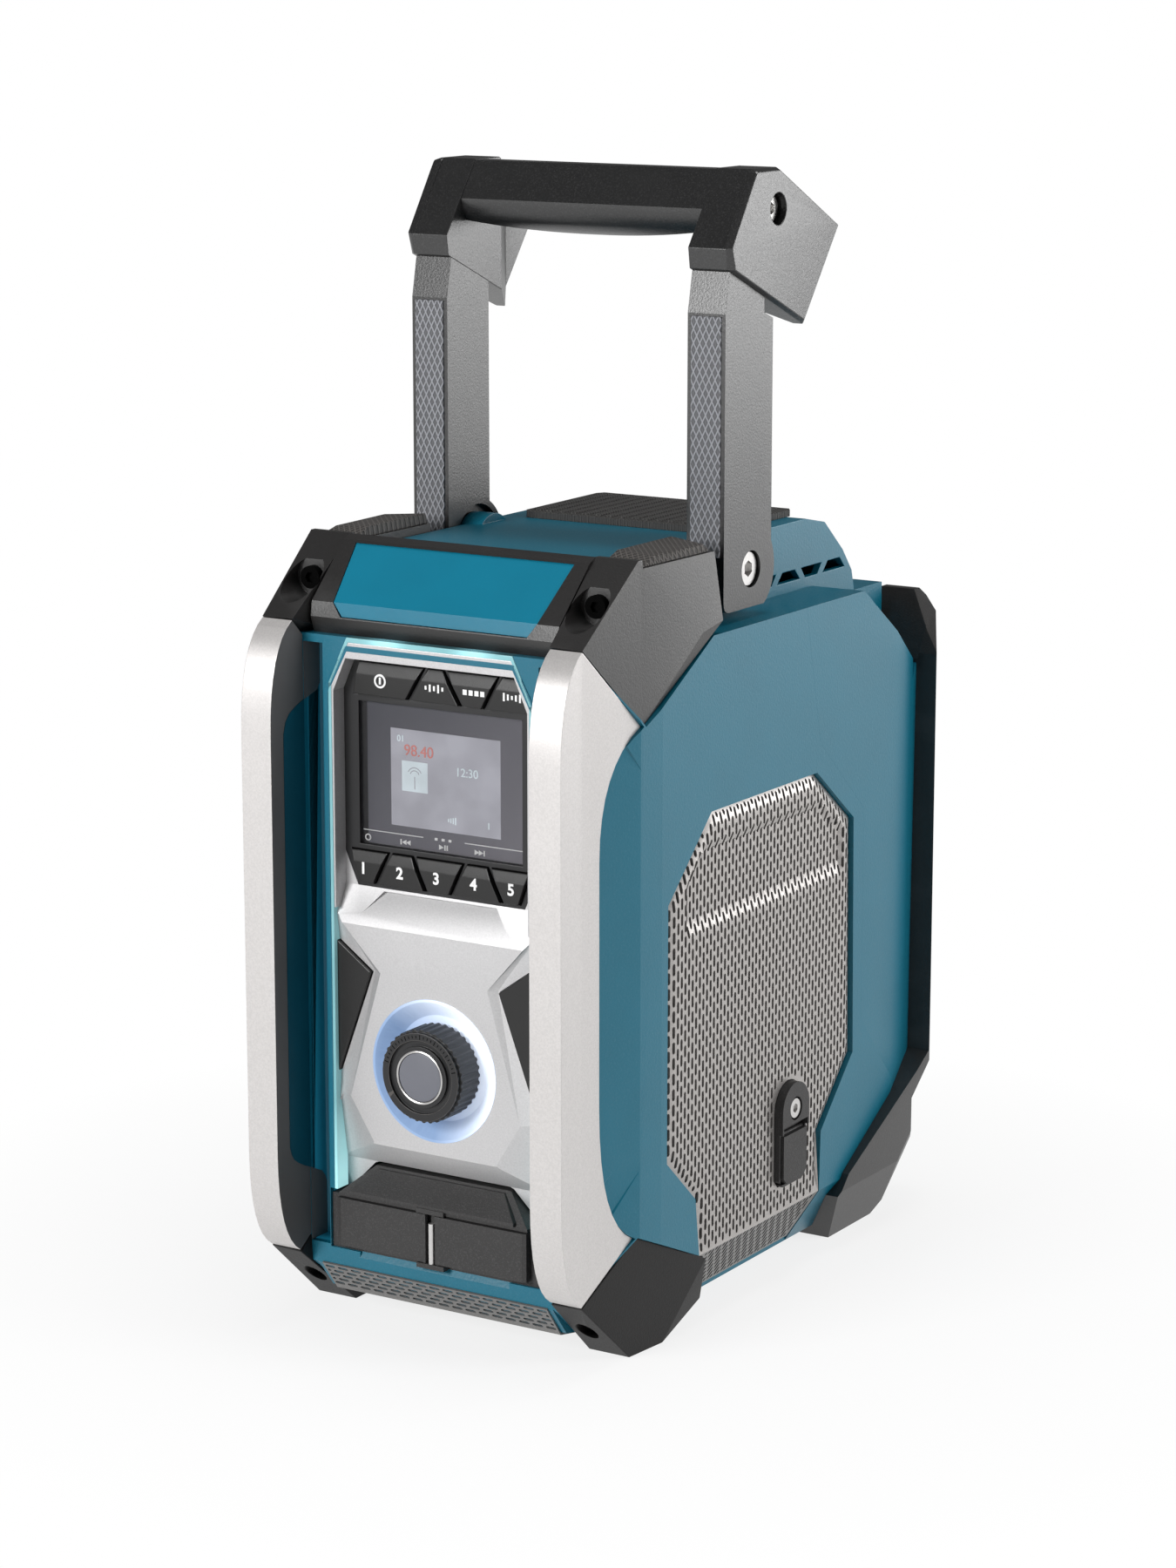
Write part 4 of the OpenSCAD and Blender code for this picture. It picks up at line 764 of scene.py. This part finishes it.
def flat_piece(name, loops, depth_y, mat, body, thick=0.08):
    """Thin shapes that stand in an x-z plane; depth_y(x, z) gives the plane, loops are their outlines."""
    bm = bmesh.new()
    for loop in loops:
        front = [(x, depth_y(x, z) - thick, z) for x, z in loop]
        prism(bm, front, [(x, depth_y(x, z) + 0.3, z) for x, z in loop])
    bmesh.ops.recalc_face_normals(bm, faces=bm.faces)
    return finish_bmesh(bm, name, mat, body)


def box_outline(left, low, right, high):
    """An upright rectangle between these sides."""
    return [(left, low), (right, low), (right, high), (left, high)]


def bar(x, z, width, height):
    """A rectangle about a middle."""
    return box_outline(x - width / 2, z - height / 2, x + width / 2, z + height / 2)


def ring(x, z, radius, width, start=0, stop=360, steps=20):
    """A ring or part of one, between two angles in degrees, as small four-sided pieces."""
    inner, outer = (arc((x, z), radius + way * width / 2, math.radians(start), math.radians(stop), steps)
                    for way in (-1, 1))
    return [[inner[i], inner[i + 1], outer[i + 1], outer[i]] for i in range(steps)]


def triangle(x, z, size, way):
    """A play sign; way is 1 or -1 for the side it points to."""
    return [(x - way * size / 2, z - size / 2), (x + way * size / 2, z), (x - way * size / 2, z + size / 2)]


def digits(name, text, size, at, y, mat, body, weight):
    """Plain figures of a size, in mm, about a middle (x, z) in a plane of constant y."""
    font_height = 0.72  # share of the font's size that a figure is high
    curve = bpy.data.curves.new(name, "FONT")
    curve.body = text
    curve.size = size * MM / font_height
    curve.align_x = "CENTER"
    curve.align_y = "CENTER"
    curve.extrude = 0.1 * MM
    curve.offset = weight * MM
    temp = bpy.data.objects.new(name, curve)
    mesh = bpy.data.meshes.new_from_object(temp)
    bpy.data.objects.remove(temp)
    bm = bmesh.new()
    bm.from_mesh(mesh)
    bpy.data.meshes.remove(mesh)
    spans = [[v.co[axis] for v in bm.verts] for axis in (0, 1)]
    x, z = (place * MM - (min(span) + max(span)) / 2 for place, span in zip(at, spans))
    for v in bm.verts:
        v.co = Vector((x + v.co.x, y * MM - v.co.z, z + v.co.y))
    bmesh.ops.recalc_face_normals(bm, faces=bm.faces)
    return finish_bmesh(bm, name, mat, body)


def key_marks():
    """White marks on the keys: a power sign, three plain signs and the figures 1 to 5."""
    def on_key(x, z):
        return KEY_FACE + max(0.0, (z - KEY_BEND) * 0.3)

    z = 245
    signs = {
        "power": [bar(-24.3, z + 0.4, 0.9, 2.6)] + ring(-24.3, z + 0.3, 2.2, 0.75, steps=28),
        "source": [bar(-4.4 + i * 1.8, z, 0.8, high) for i, high in enumerate((1.4, 2.6, 1.8, 3.0, 1.4))],
        "menu": [bar(12.4 + i * 2.5, z, 1.7, 1.9) for i in range(4)],
        "info": [bar(29 + i * 1.7, z, 0.75, high) for i, high in enumerate((3.0, 2.2, 1.4, 2.2, 3.0))],
    }
    for key, loops in signs.items():
        flat_piece(f"{key}_sign", loops, on_key, PRINT, f"{key}_button_body")
    for i, x in enumerate((-32.6, -16.5, -0.6, 15.6, 31.6), 1):
        digits(f"figure_{i}", str(i), 4.3, (x, 175.1), KEY_FACE - 0.06, PRINT,
               f"preset_button_{i}_body", 0.17)


def lens_signs():
    """The white print on the screen's lower edge: two rules, dots, a ring and the player's signs."""
    rule_z, sign_z = 188.7, 185.9
    size = 1.9
    rules = [bar(-21.8, rule_z, 26.2, 0.28), bar(22.2, rule_z, 25.6, 0.28)]
    dots = [bar(-3 + i * 3, rule_z, 1.2, 0.9) for i in range(3)]
    back = [bar(-18.4, sign_z, 0.5, 2.0)] + [triangle(x, sign_z, size, -1) for x in (-17.0, -15.2)]
    play = [triangle(-0.8, sign_z, size, 1), bar(0.8, sign_z, 0.5, size), bar(1.8, sign_z, 0.5, size)]
    onward = [triangle(x, sign_z, size, 1) for x in (14.6, 16.4)] + [bar(17.8, sign_z, 0.5, 2.0)]
    loops = rules + back + play + onward + ring(-33.0, sign_z, 1.1, 0.4, steps=16) + dots
    flat_piece("lens_signs", loops, lambda x, z: LCD_FACE, PRINT, "casing", 0.12)


def display():
    """The lens, the print behind it and what the screen shows."""
    half, low, high = 35.0, 184.0, 236.6
    pane = box_outline(-half, low, half, high)
    bm = bmesh.new()
    prism(bm, *([(x, y, z) for x, z in pane] for y in (SCREEN, SCREEN + 0.9)))
    bmesh.ops.recalc_face_normals(bm, faces=bm.faces)
    round_edges(bm, 0.25, 60, 3)
    finish_bmesh(bm, "lens_pane", LENS, "casing", "display_lens")

    def show(name, loops, mat, thick, behind=0.0):
        flat_piece(name, loops, lambda x, z: LCD_FACE + behind, mat, "casing", thick)

    def write(name, text, size, at, mat, weight):
        digits(name, text, size, at, LCD_FACE - 0.2, mat, "casing", weight)

    tile_x, tile_z = -12.1, 210.7
    waves = [loop for radius, low_end in ((2.0, 20), (3.1, 25))
             for loop in ring(tile_x, tile_z + 0.3, radius, 0.35, low_end, 180 - low_end, 8)]
    steps = [bar(2.5 + i, 196.3, 0.5, 1.2 + 0.5 * i) for i in range(4)]
    show("screen_print", [pane], SCREEN_BACK, 0.02, behind=0.15)
    show("lcd_window", [bar(1.2, 209.9, 47.4, 36.0)], LCD, 0.05)
    show("lcd_tile", [bar(tile_x, tile_z, 11.2, 11.2)], LCD_PALE, 0.1)
    show("lcd_waves", waves + [bar(tile_x, tile_z - 2.3, 0.4, 4.6)], LCD, 0.16)
    write("lcd_figures", "98.40", 4.2, (-10.2, 220.4), LCD_RED, 0.0)
    write("lcd_clock", "12:30", 3.2, (11.0, 214.6), LCD_PALE, 0.02)
    write("lcd_channel", "01", 2.4, (-18.3, 224.4), LCD_PALE, 0.02)
    show("lcd_bars", steps + [bar(19.8, 196.2, 0.5, 2.4)], LCD_PALE, 0.1)
    lens_signs()


# ---------------------------------------------------------------- knob

def lathe(name, profile, mat, steps=96):
    """Turns (radius, y) points about the knob's axis; the piece rides on the turning knob."""
    bm = bmesh.new()
    rings = []
    for radius, y in profile:
        angles = [2 * math.pi * i / steps for i in range(steps if radius else 1)]
        rings.append([bm.verts.new(Vector((radius * math.cos(a), y, KNOB_Z + radius * math.sin(a))) * MM)
                      for a in angles])
    for a, b in zip(rings, rings[1:]):
        for i in range(steps):
            j = (i + 1) % steps
            corners = [a[i % len(a)], a[j % len(a)], b[j % len(b)], b[i % len(b)]]
            bm.faces.new([v for k, v in enumerate(corners) if v not in corners[:k]])
    bmesh.ops.recalc_face_normals(bm, faces=bm.faces)
    return finish_bmesh(bm, name, mat, "knob_turn", sharp=30)


def knob():
    """A ribbed knob with a grey face ring that carries fine ticks, a bright rim and a pale middle."""
    ring_width, ring_to_disc = 3.9, 8.2
    tick_count, tick_from, tick_span, tick_half_width = 25, 165, 150, 0.16
    ob = dress("knob", BLACK, 0.18, 20, 2)
    nearest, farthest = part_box("knob")
    face, radius = nearest.y / MM, farthest.x / MM
    tint(ob, KNOB_FACE, lambda c, n: (c.y < face + 0.1 and n.y < -0.9
                                      and math.hypot(c.x, c.z - KNOB_Z) > radius - ring_width))
    disc = radius - ring_to_disc
    lathe("knob_disc", [(0, face - 0.35), (disc - 0.8, face - 0.3), (disc - 0.3, face - 0.1),
                        (disc, face + 0.3)], KNOB_DISC)
    lathe("knob_rim", [(disc - 0.1, face + 0.3), (disc, face - 0.42), (disc + 0.3, face - 0.55),
                       (disc + 0.7, face - 0.42), (disc + 0.95, face + 0.3)], STEEL)
    ticks = []
    for i in range(tick_count):
        angle = math.radians(tick_from - i * tick_span / (tick_count - 1))
        c, s = math.cos(angle), math.sin(angle)
        half_length = 0.9 if i % 4 == 0 else 0.5
        corners = bar(radius - 2.4, 0, 2 * half_length, 2 * tick_half_width)
        ticks.append([(out * c - across * s, KNOB_Z + out * s + across * c) for out, across in corners])
    flat_piece("knob_ticks", ticks, lambda x, z: face, TICK_AND_WELL_SHADE, "knob_turn", 0.03)


# ---------------------------------------------------------------- the object

# CAD nodes that get rounded edges, with the material and the rounding in mm
ROUNDED = (
    ("rear_housing", TEAL, 0.8), ("side_cover_left", TEAL, 0.8),
    ("side_cover_right", TEAL, 0.8), ("top_cover", TEAL, 0.8), ("top_bumper", RUBBER, 0.7),
    ("nameplate", NAME, 0.35), ("roll_bars", SILVER, 1.1), ("front_feet", FOOT, 0.7),
    ("rear_guards", RUBBER, 1.0), ("handle_arms", HANDLE, 0.8), ("handle_corners", HANDLE, 1.0),
    ("hand_grip", HANDLE, 0.6), ("arm_pads", PAD, 0.5), ("corner_pads", CORNER, 0.5),
    ("top_pad", TOPPAD, 0.3), ("fascia", FASCIA_PAINT, 0.5), ("display_frame", BLACK, 0.3),
    ("port_tray", FLAP, 0.4), ("usb_cover", FLAP, 0.5), ("aux_cover", FLAP, 0.5),
    ("dc_cover", FLAP, 0.5), ("dc_cover_base", FLAP, 0.5), ("battery_door", TEAL, 0.5),
    ("door_latch", BLACK, 0.3), ("power_button", KEY, 0.35), ("source_button", KEY, 0.35),
    ("menu_button", KEY, 0.35), ("info_button", KEY, 0.35),
    *((f"preset_button_{i}", KEY, 0.35) for i in range(1, 6)),
    ("tune_button", KEY, 0.35), ("tone_button", KEY, 0.35),
    ("light_guide", TEAL, 0.3), ("halo_ring", HALO, 0.15))

# CAD nodes that show as they are
PAINTED = (
    ("speaker_baffles", BLACK), ("speaker_frames", BLACK), ("speaker_cones", CONE),
    ("speaker_magnets", MAGNET), ("lcd_module", BLACK), ("usb_socket", STEEL),
    ("aux_socket", BLACK), ("port_rod", ROD), ("main_board", BOARD), ("battery_terminals", BRASS),
    ("dc_jack", BLACK), ("pivot_screws", STEEL), ("encoder", BLACK), ("handle_screws", STEEL),
    ("encoder_plunger", STEEL), ("encoder_shaft", STEEL))


def radio():
    """Every piece of the radio."""
    pieces = {node: dress(node, mat, width) for node, mat, width in ROUNDED}
    for node, mat in PAINTED:
        paint(node, mat)

    # The screws deep in their wells are painted near black, a painted shade for the dark of the wells; the
    # one of the DC cover, on the side wall, is bright
    screws = dress("casing_screws", STEEL, 0.15, 30, 1)
    tint(screws, TICK_AND_WELL_SHADE, lambda c, n: c.z > 200 or abs(c.x) < 70)

    front_channels()
    bar_flanks()
    panel_bands()
    # The bars' inner flanks take the darker silver, a painted shade
    tint(pieces["roll_bars"], BAR_FLANK_SHADE, lambda c, n: abs(c.x) < BAR_IN + 1.2 and abs(n.x) > 0.5)
    side_grille(1)
    side_grille(-1)
    belly_grille()
    key_marks()
    display()
    knob()


# ---------------------------------------------------------------- studio

def floor_material():
    """A pale floor that fades into the white backdrop away from the object."""
    fade_from, fade_to = 0.12, 0.32
    n = Nodes("floor_white")
    n.set(Roughness=0.9, Specular__IOR__Level=0.1)
    n.feed(Base__Color=n.ramp(n.noise(3), (0.86, 0.86, 0.86), (0.88, 0.88, 0.88)))
    x, y, _ = n.axes()
    paths = n.add("ShaderNodeLightPath")
    seen = n.math("MAXIMUM", paths.outputs["Is Camera Ray"], paths.outputs["Is Glossy Ray"])
    fade = n.math("MULTIPLY", n.spread(n.far_from(x, y), 0.8, 1, fade_from, fade_to), seen)
    plain = n.add("ShaderNodeEmission", Color=(1, 1, 1, 1), Strength=1.0)
    mix = n.add("ShaderNodeMixShader")
    n.link(fade, mix.inputs["Fac"])
    n.link(n.bsdf.outputs["BSDF"], mix.inputs[1])
    n.link(plain.outputs["Emission"], mix.inputs[2])
    n.link(mix.outputs["Shader"], n.tree.nodes["Material Output"].inputs["Surface"])
    return n.mat


def stand(name, data, at=(0, 0, 0), turn=(0, 0, 0)):
    """Puts an object into the scene and gives it back."""
    ob = bpy.data.objects.new(name, data)
    ob.location = at
    ob.rotation_euler = turn
    bpy.context.scene.collection.objects.link(ob)
    return ob


def camera():
    """The photograph's view, which was found from the casing's parallel edges and right angles."""
    pitch, azimuth = 12.22, 31.87
    data = bpy.data.cameras.new("camera")
    data.lens = 92.376
    data.sensor_width = 36
    data.clip_start = 0.05
    bpy.context.scene.camera = stand("camera", data, (0.7922, -1.2873, 0.5162),
                                     (math.radians(90 - pitch), 0, math.radians(azimuth)))


def floor():
    """A large flat floor under the object."""
    half = 6
    mesh = bpy.data.meshes.new("floor")
    corners = [(x, y, 0) for x, y in box_outline(-half, -half, half, half)]
    mesh.from_pydata(corners, [], [(0, 1, 2, 3)])
    mesh.materials.append(floor_material())
    stand("floor", mesh)


def surroundings():
    """A weak white glow from all round, which looks fully white where the camera sees it."""
    glow = 0.13
    world = bpy.data.worlds.new("studio")
    world.use_nodes = True
    tree = world.node_tree
    paths = tree.nodes.new("ShaderNodeLightPath")
    seen = tree.nodes.new("ShaderNodeMath")
    seen.operation = "MAXIMUM"
    level = tree.nodes.new("ShaderNodeMapRange")
    level.inputs["To Min"].default_value = glow
    level.inputs["To Max"].default_value = 1.0
    back = tree.nodes["Background"]
    back.inputs["Color"].default_value = (1, 1, 1, 1)
    tree.links.new(paths.outputs["Is Camera Ray"], seen.inputs[0])
    tree.links.new(paths.outputs["Is Transmission Ray"], seen.inputs[1])
    tree.links.new(seen.outputs[0], level.inputs["Value"])
    tree.links.new(level.outputs["Result"], back.inputs["Strength"])
    bpy.context.scene.world = world


def area_light(name, at, size, power, target=(0, 0, 0.2), shine=True):
    """A softbox that looks at a target; without shine it isn't seen in glossy surfaces."""
    light = bpy.data.lights.new(name, "AREA")
    light.energy = power
    light.shape = "RECTANGLE"
    light.size, light.size_y = size
    turn = (Vector(target) - Vector(at)).to_track_quat("-Z", "Y").to_euler()
    stand(name, light, at, turn).visible_glossy = shine


def studio():
    """Camera, floor, surroundings and four soft lamps, in metres and watts."""
    bpy.context.scene.view_settings.view_transform = "Standard"
    camera()
    floor()
    surroundings()
    area_light("right", (2.3, 0.35, 1.3), (0.7, 0.9), 28, shine=False)
    area_light("front", (-0.5, -1.75, 0.8), (0.7, 0.7), 29, target=(0, 0, 0.26))
    area_light("softbox", (1.15, 1.45, 0.42), (1.1, 0.55), 11)
    area_light("top", (0.1, 0.2, 2.1), (0.7, 0.7), 12)


radio()
studio()
